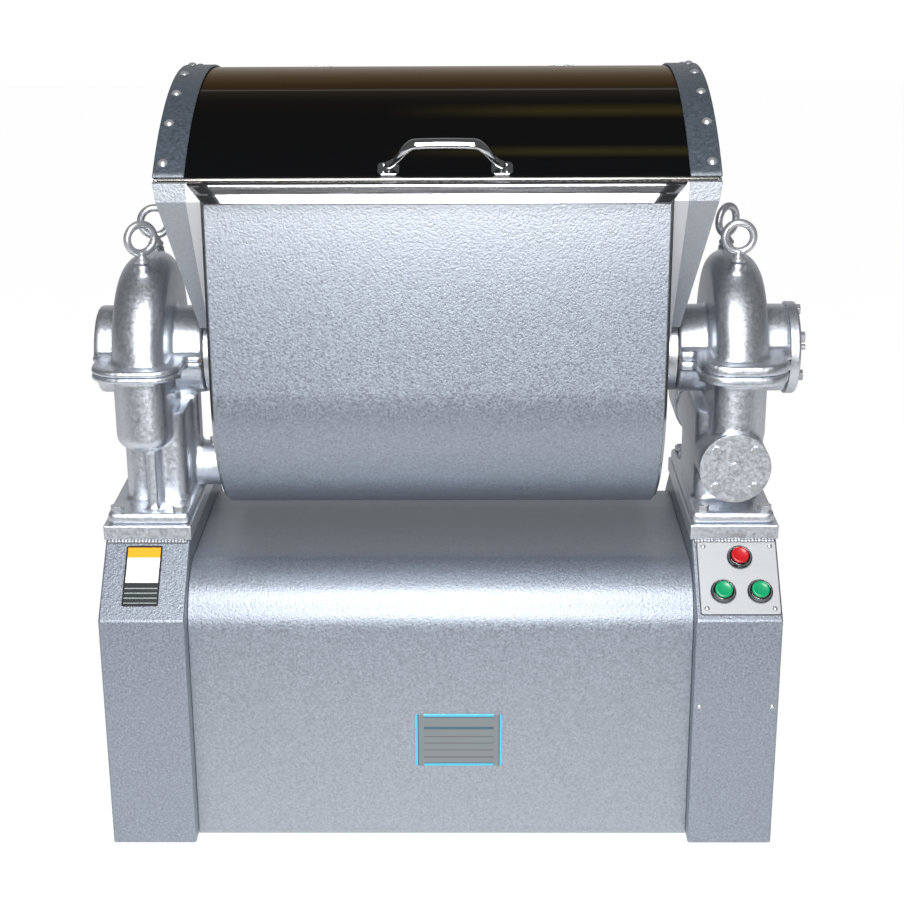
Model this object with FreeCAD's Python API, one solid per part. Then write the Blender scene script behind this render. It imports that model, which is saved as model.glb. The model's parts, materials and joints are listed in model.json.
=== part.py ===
"""Tilting-bowl dough mixer with two cast drive casings on sheet-metal pedestals.

Millimetres. X runs across the machine, Y from the front to the back and Z up.
The origin is on the floor, midway between the pedestals and under the mixing shaft.
"""
import FreeCAD
import Part

import math
import os

# Stand
HALF_WIDTH = 400.0
PEDESTAL_WIDTH = 101.0
BAY_HALF_WIDTH = HALF_WIDTH - PEDESTAL_WIDTH
PEDESTAL_HALF_DEPTH = 200.0
SLOPE_TOP_HEIGHT = 367.0
SLOPE_CLIMB = 72.0
SHOULDER_HEIGHT = SLOPE_TOP_HEIGHT - SLOPE_CLIMB
SLOPE_DEPTH = 76.0
SLOPE_TOP_HALF_DEPTH = PEDESTAL_HALF_DEPTH - SLOPE_DEPTH
PEDESTAL_SHEET = 3.0
TOP_PLATE_THICKNESS = 19.0
TOP_PLATE_OVERHANG = 2.0
BELT_SLOT_LENGTH = 144.0
BELT_SLOT_WIDTH = 60.0
ACCESS_HOLE_RADIUS = 62.0
BASE_PLATE_THICKNESS = 6.0
COVER_SETBACK = 22.0
COVER_HALF_DEPTH = PEDESTAL_HALF_DEPTH - COVER_SETBACK
COVER_DROP = 27.0
COVER_HEIGHT = SLOPE_TOP_HEIGHT - COVER_DROP
COVER_SHEET = 2.0
COVER_BEND_RADIUS = 70.0
COVER_JOINT_Y = 60.0
LOUVRE_COUNT = 8
LOUVRE_PITCH = 18.0
LOUVRE_LENGTH = 130.0
LOUVRE_HEIGHT = 6.0
LOUVRE_BOTTOM = 90.0
SIDE_GAP = 0.3

# Casings
AXIS_RISE = 203.0
AXIS_HEIGHT = SLOPE_TOP_HEIGHT + AXIS_RISE
TYRE_INSET = 14.0
TYRE_WIDTH = 64.0
TYRE_OUT = HALF_WIDTH - TYRE_INSET
TYRE_IN = TYRE_OUT - TYRE_WIDTH
TYRE_RADIUS = 119.0
TYRE_OUTER_SHOULDER = 36.0
TYRE_INNER_SHOULDER = 22.0
CASTING_WALL = 7.0
SEAT_WALL = 2.0
DRUM_DROP = 97.0
DRUM_BOTTOM = AXIS_HEIGHT - DRUM_DROP
DRUM_FOOT_RADIUS = 16.0
PILLAR_INSET = 5.0
PILLAR_WIDTH = 75.0
PILLAR_OUT = TYRE_OUT - PILLAR_INSET
PILLAR_IN = PILLAR_OUT - PILLAR_WIDTH
PILLAR_HALF_DEPTH = 78.0
PILLAR_CORNER = 16.0
BASE_FLANGE_INSET = 3.0
BASE_FLANGE_OUT = HALF_WIDTH - BASE_FLANGE_INSET
BASE_FLANGE_REACH = 3.0
BASE_FLANGE_HALF_DEPTH = TYRE_RADIUS + BASE_FLANGE_REACH
BASE_FLANGE_THICKNESS = 14.0
SPLIT_FLANGE_HALF_LENGTH = 132.0
SPLIT_FLANGE_REACH_IN = 19.0
SPLIT_FLANGE_REACH_OUT = 22.0
SPLIT_FLANGE_IN = TYRE_IN - SPLIT_FLANGE_REACH_IN
SPLIT_FLANGE_OUT = TYRE_OUT + SPLIT_FLANGE_REACH_OUT
SPLIT_FLANGE_CORNER = 34.0
SPLIT_FLANGE_LEFT = 8.0
SPLIT_FLANGE_RIGHT = 13.0
BOSS_PAD_HALF_DEPTH = 64.0
BOSS_RADIUS = 53.0
INNER_BOSS_REACH = 14.0
INNER_BOSS_END = BAY_HALF_WIDTH - INNER_BOSS_REACH
OUTER_BOSS_REACH = 29.0
CAP_SEAT_REACH = 3.0
OUTER_BOSS_LEFT = TYRE_OUT + OUTER_BOSS_REACH
OUTER_BOSS_RIGHT = OUTER_BOSS_LEFT + CAP_SEAT_REACH
CAP_RADIUS = 56.0
CAP_THICKNESS = 12.0
CAP_BOLT_CIRCLE = 47.0
CAP_BOLT_COUNT = 6
WEB_REACH = 8.0
WEB_IN = PILLAR_IN - WEB_REACH
WEB_HALF_DEPTH = 16.0
RIB_THICKNESS = 12.0
RIB_REACH = 30.0

# Mixing shaft drive
SHAFT_RADIUS = 18.0
SHAFT_BUSH_RADIUS = 30.0
RUN_CLEARANCE = 0.05
GEAR_MODULE = 3.0
DRIVE_GEAR_TEETH = 68
PINION_TEETH = 30
GEAR_INSET = 10.0
GEAR_IN = TYRE_IN + GEAR_INSET
GEAR_WIDTH = 18.0
TOOTH_BACKLASH = 0.5
TOOTH_ROOT_CLEARANCE = 1.25
PINION_SHAFT_RADIUS = 14.0
PINION_BUSH_RADIUS = 20.0
PINION_BOSS_RADIUS = 28.0
PINION_BOSS_REACH = 42.0
PINION_BOSS_END = PILLAR_IN - PINION_BOSS_REACH
PULLEY_INSET = 33.0
PULLEY_IN = TYRE_IN + PULLEY_INSET
PULLEY_WIDTH = 16.0
DRIVEN_PULLEY_RADIUS = 62.0
MOTOR_PULLEY_RADIUS = 31.0
GROOVE_DEPTH = 8.0
GROOVE_TOP_HALF = 6.0
GROOVE_BOTTOM_HALF = 4.5
BELT_DEPTH = 9.0
BELT_GAP = 0.3
MOTOR_HEIGHT = 106.0
MOTOR_RADIUS = 76.0
MOTOR_GAP = 49.0
MOTOR_END = BAY_HALF_WIDTH - MOTOR_GAP
MOTOR_LENGTH = 250.0
MOTOR_SHAFT_RADIUS = 12.0
MOTOR_FOOT_THICKNESS = 10.0
MOTOR_FOOT_WIDTH = 40.0
MOTOR_FOOT_HALF_SPREAD = 82.0
MOTOR_FIN_COUNT = 20
MOTOR_FIN_HEIGHT = 8.0
MOTOR_FIN_THICKNESS = 3.0

# Tilt drive
WORM_INSET = 25.0
WORM_X = TYRE_IN + WORM_INSET
WORM_PITCH_RADIUS = 25.0
WORM_WHEEL_TEETH = 44
WORM_MODULE = 4.0
WORM_TURNS = 3.5
WORM_CORE_REACH = 8.0
WORM_SHAFT_RADIUS = 12.0
WORM_WHEEL_WIDTH = 22.0
WORM_HOUSING_RADIUS = 42.0
WORM_HOUSING_REACH = 0.5
WORM_HOUSING_FRONT = TYRE_RADIUS + WORM_HOUSING_REACH
WORM_HOUSING_REAR = TYRE_RADIUS + WORM_HOUSING_REACH
WORM_CAP_THICKNESS = 7.0
WORM_BORE_RADIUS = 33.0
WORM_BUSH_WIDTH = 16.0
WORM_BOLT_CIRCLE = 32.0
WORM_BOLT_COUNT = 4
TILT_MOTOR_RADIUS = 45.0
TILT_MOTOR_LENGTH = 80.0
TILT_MOTOR_FLANGE = 8.0
TILT_MOTOR_SHAFT_DEPTH = 30.0

# Bowl
TROUGH_END_GAP = 44.0
TROUGH_HALF_LENGTH = BAY_HALF_WIDTH - TROUGH_END_GAP
TROUGH_RADIUS = 182.0
TROUGH_SHEET = 3.0
MOUTH_FRONT_RISE = 238.0
MOUTH_FRONT = AXIS_HEIGHT + MOUTH_FRONT_RISE
END_DROP = 2.5
JACKET_THICKNESS = 4.0
JACKET_TOP_DROP = 25.0
JACKET_TOP = MOUTH_FRONT - JACKET_TOP_DROP
RIM_END_REACH = 15.0
RIM_END_SLOPE = 18.0
RIM_TOP_HALF_LENGTH = TROUGH_HALF_LENGTH + RIM_END_REACH
RIM_BOTTOM_HALF_LENGTH = RIM_TOP_HALF_LENGTH - RIM_END_SLOPE
RIM_REACH = 18.0
RIM_DEPTH = 23.0
RIM_SHEET = 2.5
ARM_WIDTH = 16.0
ARM_SHEET = 3.0
CHEEK_FLARE = 11.0
CHEEK_FOOT_LAP = 3.0
CHEEK_OUT_TOP = BAY_HALF_WIDTH + CHEEK_FLARE
CHEEK_OUT_FOOT = INNER_BOSS_END + CHEEK_FOOT_LAP
CHEEK_FOOT_RADIUS = 74.0
ARM_FOOT_HALF_DEPTH = 46.0
ARM_FOOT_RISE = 20.0
HUB_RADIUS = 52.0
HUB_GAP = 1.5
HUB_END = INNER_BOSS_END - HUB_GAP
TRUNNION_RADIUS = 38.0
TRUNNION_BUSH_RADIUS = 44.0

# Agitator
MIXING_RADIUS = 162.0
MIXING_ROD_RADIUS = 9.0
MIXING_ROD_COUNT = 3
MIXING_TWIST = 60.0
ARM_DISC_RADIUS = 34.0
ARM_DISC_WIDTH = 26.0
MIXING_END_GAP = 19.0
MIXING_HALF_LENGTH = TROUGH_HALF_LENGTH - MIXING_END_GAP

# Lid
LID_CENTRE_Y = 70.0
LID_RADIUS = 389.0
LID_SHEET = 2.5
LID_END_INSET = 2.0
LID_HALF_LENGTH = CHEEK_OUT_TOP - LID_END_INSET
LID_FRONT_INSET = 4.0
LID_REAR_LAP = 3.0
LID_FRONT_RISE = 0.7
LID_REAR_STAND = 12.62
LID_FRONT_Y = LID_FRONT_INSET - TROUGH_RADIUS
LID_REAR_Y = TROUGH_RADIUS + LID_REAR_LAP
LID_END_THICKNESS = 3.0
LID_GAP = 0.4
STRIP_WIDTH = 35.0
STRIP_OUT = CHEEK_OUT_TOP
STRIP_IN = STRIP_OUT - STRIP_WIDTH
STRIP_THICKNESS = 3.0
LID_SCREW_COUNT = 6
LID_SCREW_RADIUS = 6.0
LID_SCREW_HEAD = 3.5
LID_SCREW_INSET = 10.0
HINGE_REACH = 10.0
HINGE_DROP = 6.62
HINGE_Y = TROUGH_RADIUS + HINGE_REACH
HINGE_KNUCKLE_RADIUS = 6.0
HINGE_PIN_RADIUS = 3.0
HINGE_SPREAD = 150.0
HINGE_LEAF_LENGTH = 60.0
HINGE_LEAF_THICKNESS = 2.5
LID_LEAF_LAP = 40.0
LID_LEAF_OVERHANG = 8.0
BOWL_LEAF_BOTTOM = 36.0
BOWL_LEAF_TOP = 2.0
BOWL_EAR_BOTTOM = 10.0
BOWL_LEAF_INSET = 1.5
HANDLE_X = 9.0
HANDLE_SPAN = 124.0
HANDLE_RISE = 44.0
HANDLE_ROD_RADIUS = 5.5
HANDLE_FOOT_LENGTH = 24.0
HANDLE_FOOT_WIDTH = 18.0
HANDLE_FOOT_THICKNESS = 4.0
HANDLE_Y = -168.0

# Fittings
EYE_INSET = 28.0
EYE_X = TYRE_IN + EYE_INSET
EYE_Y = 50.0
EYE_RING_RADIUS = 17.0
EYE_ROD_RADIUS = 4.5
EYE_RISE = 147.0
EYE_HEIGHT = AXIS_HEIGHT + EYE_RISE
EYE_TURNS = (35, 0, 10, 45)
EYE_BOSS_RADIUS = 10.0
EYE_BOSS_RISE = 118.0
EYE_BOSS_TOP = AXIS_HEIGHT + EYE_BOSS_RISE
EYE_SHANK_RADIUS = 5.0
M10_HEAD_RADIUS = 8.5
M10_HEAD_HEIGHT = 6.5
M8_HEAD_RADIUS = 6.8
M8_HEAD_HEIGHT = 5.0
M6_HEAD_RADIUS = 5.5
M6_HEAD_HEIGHT = 4.0
BASE_BOLT_INSET_IN = 13.0
BASE_BOLT_INSET_OUT = 11.0
BASE_BOLT_INSET_END = 12.0
BASE_BOLT_X_IN = BAY_HALF_WIDTH + BASE_BOLT_INSET_IN
BASE_BOLT_X_OUT = BASE_FLANGE_OUT - BASE_BOLT_INSET_OUT
BASE_BOLT_Y = BASE_FLANGE_HALF_DEPTH - BASE_BOLT_INSET_END
GREASE_NUT_HEIGHT = 6.0
GREASE_NIPPLE_RADIUS = 3.5
GREASE_NIPPLE_LENGTH = 14.0
WORM_PLUG_RADIUS = 7.0
WORM_PLUG_HEIGHT = 2.0
SPLIT_BOLT_Y = 84.0
SPLIT_BOLT_INSET = 9.5
PANEL_INSET_IN = 5.0
PANEL_INSET_OUT = 1.0
PANEL_IN = BAY_HALF_WIDTH + PANEL_INSET_IN
PANEL_OUT = HALF_WIDTH - PANEL_INSET_OUT
PANEL_LOW = 7.0
PANEL_HIGH = 103.0
PANEL_THICKNESS = 2.0
PANEL_SCREW_MARGIN = 8.0
PANEL_SCREW_RADIUS = 3.2
SCREW_HEAD_HEIGHT = 1.8
BUTTON_RED_INSET = 50.0
BUTTON_RED_X = PANEL_IN + BUTTON_RED_INSET
BUTTON_RED_UP = 80.0
BUTTON_GREEN_INSET = 28.0
BUTTON_GREEN_SPREAD = 43.0
BUTTON_GREEN_X_IN = PANEL_IN + BUTTON_GREEN_INSET
BUTTON_GREEN_X_OUT = BUTTON_GREEN_X_IN + BUTTON_GREEN_SPREAD
BUTTON_GREEN_UP = 36.0
BEZEL_RADIUS = 15.0
BEZEL_HEIGHT = 7.0
BEZEL_BODY_RADIUS = 11.0
BEZEL_BODY_DEPTH = 30.0
BUTTON_RADIUS = 10.5
BUTTON_STAND = 3.0
BUTTON_TRAVEL = 4.0
BUTTON_STEM_RADIUS = 5.0
BUTTON_STEM_LENGTH = 16.0
BUTTON_GAP = 0.3
NAME_PLATE_X = 21.0
NAME_PLATE_Z = 129.0
NAME_PLATE_WIDTH = 105.0
NAME_PLATE_HEIGHT = 69.0
PLATE_THICKNESS = 1.0
LABEL_INSET = 53.5
LABEL_X = BAY_HALF_WIDTH + LABEL_INSET
LABEL_WIDTH = 43.0
LABEL_LOW = 19.0
LABEL_HIGH = 97.0
FRONT_SCREW_HEIGHT = 184.0
FRONT_SCREW_MARGIN = 7.5
GLAND_HEIGHT = 60.0
GLAND_RADIUS = 12.0
GLAND_LENGTH = 22.0

# Sizes that follow from the others
PINION_DROP = GEAR_MODULE * (DRIVE_GEAR_TEETH + PINION_TEETH) / 2
PINION_HEIGHT = AXIS_HEIGHT - PINION_DROP
WHEEL_PITCH_RADIUS = WORM_MODULE * WORM_WHEEL_TEETH / 2
WORM_LEAD = math.pi * WORM_MODULE
WORM_ROOT_RADIUS = WORM_PITCH_RADIUS - TOOTH_ROOT_CLEARANCE * WORM_MODULE
PRESSURE_SLOPE = math.tan(math.radians(20))
WORM_HEIGHT = AXIS_HEIGHT - WHEEL_PITCH_RADIUS - WORM_PITCH_RADIUS
TOP_PLATE_TOP = SLOPE_TOP_HEIGHT + TOP_PLATE_THICKNESS
BASE_FLANGE_TOP = TOP_PLATE_TOP + BASE_FLANGE_THICKNESS
END_WALL_OUT = TROUGH_HALF_LENGTH + TROUGH_SHEET
ARM_OUT = END_WALL_OUT + ARM_WIDTH
PULLEY_MID = PULLEY_IN + PULLEY_WIDTH / 2
SLOPE_ANGLE = math.degrees(math.atan2(SLOPE_CLIMB, SLOPE_DEPTH))
LID_CENTRE_Z = MOUTH_FRONT + LID_FRONT_RISE - math.sqrt(LID_RADIUS ** 2 - (LID_FRONT_Y - LID_CENTRE_Y) ** 2)
LID_REAR_HEIGHT = LID_CENTRE_Z + math.sqrt(LID_RADIUS ** 2 - (LID_REAR_Y - LID_CENTRE_Y) ** 2)
HINGE_Z = LID_REAR_HEIGHT - HINGE_DROP
MOUTH_REAR = LID_REAR_HEIGHT - LID_REAR_STAND
OVERCUT = 5.0

V = FreeCAD.Vector
X_AXIS = V(1, 0, 0)
Y_AXIS = V(0, 1, 0)
Z_AXIS = V(0, 0, 1)
LEFT = -1
RIGHT = 1


def box(x0, x1, y0, y1, z0, z1):
    return Part.makeBox(x1 - x0, y1 - y0, z1 - z0, V(x0, y0, z0))


def cylinder_x(radius, x0, x1, y=0.0, z=AXIS_HEIGHT):
    return Part.makeCylinder(radius, x1 - x0, V(x0, y, z), X_AXIS)


def cylinder_y(radius, y0, y1, x, z):
    return Part.makeCylinder(radius, y1 - y0, V(x, y0, z), Y_AXIS)


def cylinder_z(radius, z0, z1, x, y):
    return Part.makeCylinder(radius, z1 - z0, V(x, y, z0), Z_AXIS)


def prism_x(outline, x0, x1):
    """Carry a closed outline of (y, z) points along X."""
    points = [V(x0, y, z) for y, z in outline]
    face = Part.Face(Part.makePolygon(points + points[:1]))
    return face.extrude(V(x1 - x0, 0, 0))


def fuse(first, *others):
    return first.fuse(list(others)).removeSplitter() if others else first


def on_side(shape, side):
    """Give a shape that was made for the right side, or its mirror image for the left."""
    return shape if side == RIGHT else shape.mirror(V(0, 0, 0), X_AXIS)


def group(shapes):
    return Part.makeCompound(shapes)


def round_edges(shape, radius, chosen):
    edges = [edge for edge in shape.Edges if chosen(edge)]
    return shape.makeFillet(radius, edges)


def is_upright(edge):
    ends = edge.Vertexes
    return len(ends) == 2 and math.hypot(
        ends[0].X - ends[1].X, ends[0].Y - ends[1].Y) < 1e-6


def runs_along_x(edge):
    ends = edge.Vertexes
    return len(ends) == 2 and math.hypot(
        ends[0].Y - ends[1].Y, ends[0].Z - ends[1].Z) < 1e-6


def on_slope(shape, side=RIGHT):
    """Move a shape from slope coordinates (X, up the slope, out of it) on to a pedestal's slope."""
    placed = shape.copy()
    placed.rotate(V(0, 0, 0), X_AXIS, SLOPE_ANGLE)
    placed.translate(V(0, -PEDESTAL_HALF_DEPTH, SHOULDER_HEIGHT))
    return on_side(placed, side)


def dome(radius, height, base, axis):
    """Make a low domed screw head that stands on its base point along an axis."""
    ball_radius = (radius ** 2 + height ** 2) / (2 * height)
    half_way = math.asin(radius / ball_radius) / 2
    middle = V(ball_radius * math.sin(half_way), 0, height - ball_radius + ball_radius * math.cos(half_way))
    edges = [Part.LineSegment(V(0, 0, 0), V(radius, 0, 0)).toShape(),
             Part.Arc(V(radius, 0, 0), middle, V(0, 0, height)).toShape(),
             Part.LineSegment(V(0, 0, height), V(0, 0, 0)).toShape()]
    head = Part.Face(Part.Wire(edges)).revolve(V(0, 0, 0), Z_AXIS, 360)
    head.Placement = FreeCAD.Placement(base, FreeCAD.Rotation(Z_AXIS, axis))
    return head


def hexagon(radius, height, base, axis):
    """Make a hexagon head that stands on its base point along an axis."""
    points = [V(radius * math.cos(math.pi * i / 3), radius * math.sin(math.pi * i / 3), 0) for i in range(6)]
    head = Part.Face(Part.makePolygon(points + points[:1])).extrude(V(0, 0, height))
    head.Placement = FreeCAD.Placement(base, FreeCAD.Rotation(Z_AXIS, axis))
    return head


# Stand


def pedestal_outline(bottom):
    half = [
        (PEDESTAL_HALF_DEPTH, bottom),
        (PEDESTAL_HALF_DEPTH, SHOULDER_HEIGHT),
        (SLOPE_TOP_HALF_DEPTH, SLOPE_TOP_HEIGHT),
    ]
    return [(-y, z) for y, z in half] + half[::-1]


def pedestal(side):
    shell = prism_x(pedestal_outline(0), BAY_HALF_WIDTH, HALF_WIDTH)
    depth = OVERCUT + PEDESTAL_SHEET
    outline = [V(0, y, z) for y, z in pedestal_outline(-depth)]
    inner = Part.Face(Part.makePolygon(outline + outline[:1])).makeOffset2D(-PEDESTAL_SHEET)
    inner.translate(V(BAY_HALF_WIDTH + PEDESTAL_SHEET, 0, 0))
    shell = shell.cut(inner.extrude(V(HALF_WIDTH - BAY_HALF_WIDTH - 2 * PEDESTAL_SHEET, 0, 0)))
    shell = shell.cut(belt_slot(SLOPE_TOP_HEIGHT - depth, SLOPE_TOP_HEIGHT + OVERCUT))
    shell = shell.cut(cylinder_x(ACCESS_HOLE_RADIUS, BAY_HALF_WIDTH - OVERCUT,
                                 BAY_HALF_WIDTH + depth, 0, MOTOR_HEIGHT))
    if side == RIGHT:
        for x, up in button_places():
            hole = Part.makeCylinder(BEZEL_BODY_RADIUS + SIDE_GAP, 2 * depth, V(x, up, -depth))
            shell = shell.cut(on_slope(hole))
    return on_side(shell, side)


def belt_slot(z0, z1):
    middle = (PILLAR_IN + PILLAR_OUT) / 2
    return box(middle - BELT_SLOT_WIDTH / 2, middle + BELT_SLOT_WIDTH / 2,
               -BELT_SLOT_LENGTH / 2, BELT_SLOT_LENGTH / 2, z0, z1)


def top_plate(side):
    half_depth = SLOPE_TOP_HALF_DEPTH + TOP_PLATE_OVERHANG
    plate = box(BAY_HALF_WIDTH - TOP_PLATE_OVERHANG, HALF_WIDTH + TOP_PLATE_OVERHANG,
                -half_depth, half_depth, SLOPE_TOP_HEIGHT, TOP_PLATE_TOP)
    plate = round_edges(plate, TOP_PLATE_OVERHANG, is_upright)
    plate = plate.cut(belt_slot(SLOPE_TOP_HEIGHT - OVERCUT, TOP_PLATE_TOP + OVERCUT))
    return on_side(plate, side)


def base_plate():
    depth = COVER_HALF_DEPTH - COVER_SHEET
    return box(-BAY_HALF_WIDTH, BAY_HALF_WIDTH, -depth, depth, 0, BASE_PLATE_THICKNESS)


def bay_cover(y_front, y_back):
    """Bend one sheet over the bay from a vertical wall to the top."""
    half = BAY_HALF_WIDTH - SIDE_GAP
    outer = box(-half, half, -COVER_HALF_DEPTH, COVER_HALF_DEPTH, 0, COVER_HEIGHT)
    outer = round_edges(outer, COVER_BEND_RADIUS,
                        lambda edge: runs_along_x(edge) and edge.Vertexes[0].Z > COVER_HEIGHT - 1)
    depth = COVER_HALF_DEPTH - COVER_SHEET
    inner = box(-half - OVERCUT, half + OVERCUT, -depth, depth, -OVERCUT, COVER_HEIGHT - COVER_SHEET)
    inner = round_edges(inner, COVER_BEND_RADIUS - COVER_SHEET,
                        lambda edge: runs_along_x(edge) and edge.Vertexes[0].Z > COVER_HEIGHT - COVER_SHEET - 1)
    sheet = outer.cut(inner)
    return sheet.common(box(-HALF_WIDTH, HALF_WIDTH, y_front, y_back, -OVERCUT, COVER_HEIGHT + OVERCUT))


def front_cover():
    return bay_cover(-COVER_HALF_DEPTH - OVERCUT, COVER_JOINT_Y)


def rear_cover():
    cover = bay_cover(COVER_JOINT_Y, COVER_HALF_DEPTH + OVERCUT)
    wall = COVER_HALF_DEPTH
    for column in (-1, 1):
        for row in range(LOUVRE_COUNT):
            z = LOUVRE_BOTTOM + row * LOUVRE_PITCH
            middle = column * LOUVRE_LENGTH * 0.75
            slot = box(middle - LOUVRE_LENGTH / 2, middle + LOUVRE_LENGTH / 2,
                       wall - COVER_SHEET - OVERCUT, wall + OVERCUT, z, z + LOUVRE_HEIGHT)
            cover = cover.cut(slot)
    hole = cylinder_y(GLAND_RADIUS / 2, wall - COVER_SHEET - OVERCUT, wall + OVERCUT,
                      -BAY_HALF_WIDTH / 2, GLAND_HEIGHT)
    return cover.cut(hole)


def cable_gland():
    wall = COVER_HALF_DEPTH
    x = -BAY_HALF_WIDTH / 2
    nut = hexagon(GLAND_RADIUS, GLAND_LENGTH / 3, V(x, wall, GLAND_HEIGHT), Y_AXIS)
    nose = cylinder_y(GLAND_RADIUS * 0.8, wall, wall + GLAND_LENGTH, x, GLAND_HEIGHT)
    stem = cylinder_y(GLAND_RADIUS / 2, wall - COVER_SHEET - OVERCUT, wall, x, GLAND_HEIGHT)
    bore = cylinder_y(GLAND_RADIUS / 3, wall - 2 * OVERCUT, wall + GLAND_LENGTH + OVERCUT, x, GLAND_HEIGHT)
    return fuse(nut, nose, stem).cut(bore)


# Casings


def tyre(margin):
    """Make the round gear case, or its hollow when the margin is the wall."""
    body = cylinder_x(TYRE_RADIUS - margin, TYRE_IN + margin, TYRE_OUT - margin)
    body = round_edges(body, TYRE_OUTER_SHOULDER - margin,
                       lambda edge: edge.Closed and abs(edge.Vertexes[0].X - TYRE_OUT + margin) < 1e-3)
    return round_edges(body, TYRE_INNER_SHOULDER - margin,
                       lambda edge: edge.Closed and abs(edge.Vertexes[0].X - TYRE_IN - margin) < 1e-3)


def drum(margin):
    """Make the lower gear case, which goes straight down from the shaft and turns in to the pillar."""
    body = box(TYRE_IN + margin, TYRE_OUT - margin, -TYRE_RADIUS + margin, TYRE_RADIUS - margin,
               DRUM_BOTTOM + margin, AXIS_HEIGHT + OVERCUT)
    body = round_edges(body, TYRE_OUTER_SHOULDER - margin,
                       lambda edge: is_upright(edge) and edge.Vertexes[0].X > TYRE_OUT - margin - 1)
    body = round_edges(body, TYRE_INNER_SHOULDER - margin,
                       lambda edge: is_upright(edge) and edge.Vertexes[0].X < TYRE_IN + margin + 1)
    return round_edges(body, DRUM_FOOT_RADIUS - margin,
                       lambda edge: all(v.Z < DRUM_BOTTOM + margin + 1 for v in edge.Vertexes))


def split_flange(z0, z1, outer_boss):
    """Make one plate of the flange along the shaft: a rounded long plate and a cross pad for the bosses."""
    plate = box(SPLIT_FLANGE_IN, SPLIT_FLANGE_OUT,
                -SPLIT_FLANGE_HALF_LENGTH, SPLIT_FLANGE_HALF_LENGTH, z0, z1)
    plate = round_edges(plate, SPLIT_FLANGE_CORNER, is_upright)
    pad = box(INNER_BOSS_END + SIDE_GAP, outer_boss - SIDE_GAP,
              -BOSS_PAD_HALF_DEPTH, BOSS_PAD_HALF_DEPTH, z0, z1)
    return plate.fuse(pad)


def bosses(outer_boss):
    return cylinder_x(BOSS_RADIUS, INNER_BOSS_END, outer_boss)


def outer_boss_end(side):
    return OUTER_BOSS_LEFT if side == LEFT else OUTER_BOSS_RIGHT


def half_flange(side):
    return SPLIT_FLANGE_LEFT if side == LEFT else SPLIT_FLANGE_RIGHT


def shaft_bores(side):
    """Bores of both bosses: the inner one for the trunnion's bush, the outer one for the end bearing."""
    outer = SHAFT_BUSH_RADIUS if side == LEFT else TRUNNION_BUSH_RADIUS
    inner_bore = cylinder_x(TRUNNION_BUSH_RADIUS, INNER_BOSS_END - OVERCUT, TYRE_IN + CASTING_WALL + OVERCUT)
    outer_bore = cylinder_x(outer, TYRE_OUT - CASTING_WALL - OVERCUT, outer_boss_end(side) + OVERCUT)
    return inner_bore.fuse(outer_bore)


def half_space(upper):
    z0, z1 = (AXIS_HEIGHT, AXIS_HEIGHT + 2 * TYRE_RADIUS) if upper else (0, AXIS_HEIGHT)
    return box(0, 2 * HALF_WIDTH, -2 * TYRE_RADIUS, 2 * TYRE_RADIUS, z0, z1)


def casing_upper(side):
    end = outer_boss_end(side)
    body = tyre(0).fuse([bosses(end)])
    for y in (-EYE_Y, EYE_Y):
        body = body.fuse(cylinder_z(EYE_BOSS_RADIUS, AXIS_HEIGHT, EYE_BOSS_TOP, EYE_X, y))
    body = body.common(half_space(True))
    body = body.fuse(split_flange(AXIS_HEIGHT, AXIS_HEIGHT + half_flange(side), end))
    body = body.cut([tyre(CASTING_WALL), shaft_bores(side)])
    for y in (-EYE_Y, EYE_Y):
        body = body.cut(cylinder_z(EYE_SHANK_RADIUS, EYE_BOSS_TOP - 2 * EYE_BOSS_RADIUS,
                                   EYE_BOSS_TOP + OVERCUT, EYE_X, y))
    return on_side(body.removeSplitter(), side)


def pillar(margin, bottom):
    body = box(PILLAR_IN + margin, PILLAR_OUT - margin,
               -PILLAR_HALF_DEPTH + margin, PILLAR_HALF_DEPTH - margin, bottom,
               AXIS_HEIGHT - TYRE_RADIUS / 2 - margin)
    return round_edges(body, PILLAR_CORNER - margin, is_upright)


def base_flange():
    plate = box(BAY_HALF_WIDTH, BASE_FLANGE_OUT, -BASE_FLANGE_HALF_DEPTH, BASE_FLANGE_HALF_DEPTH,
                TOP_PLATE_TOP, BASE_FLANGE_TOP)
    return round_edges(plate, M8_HEAD_RADIUS, is_upright)


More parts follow.
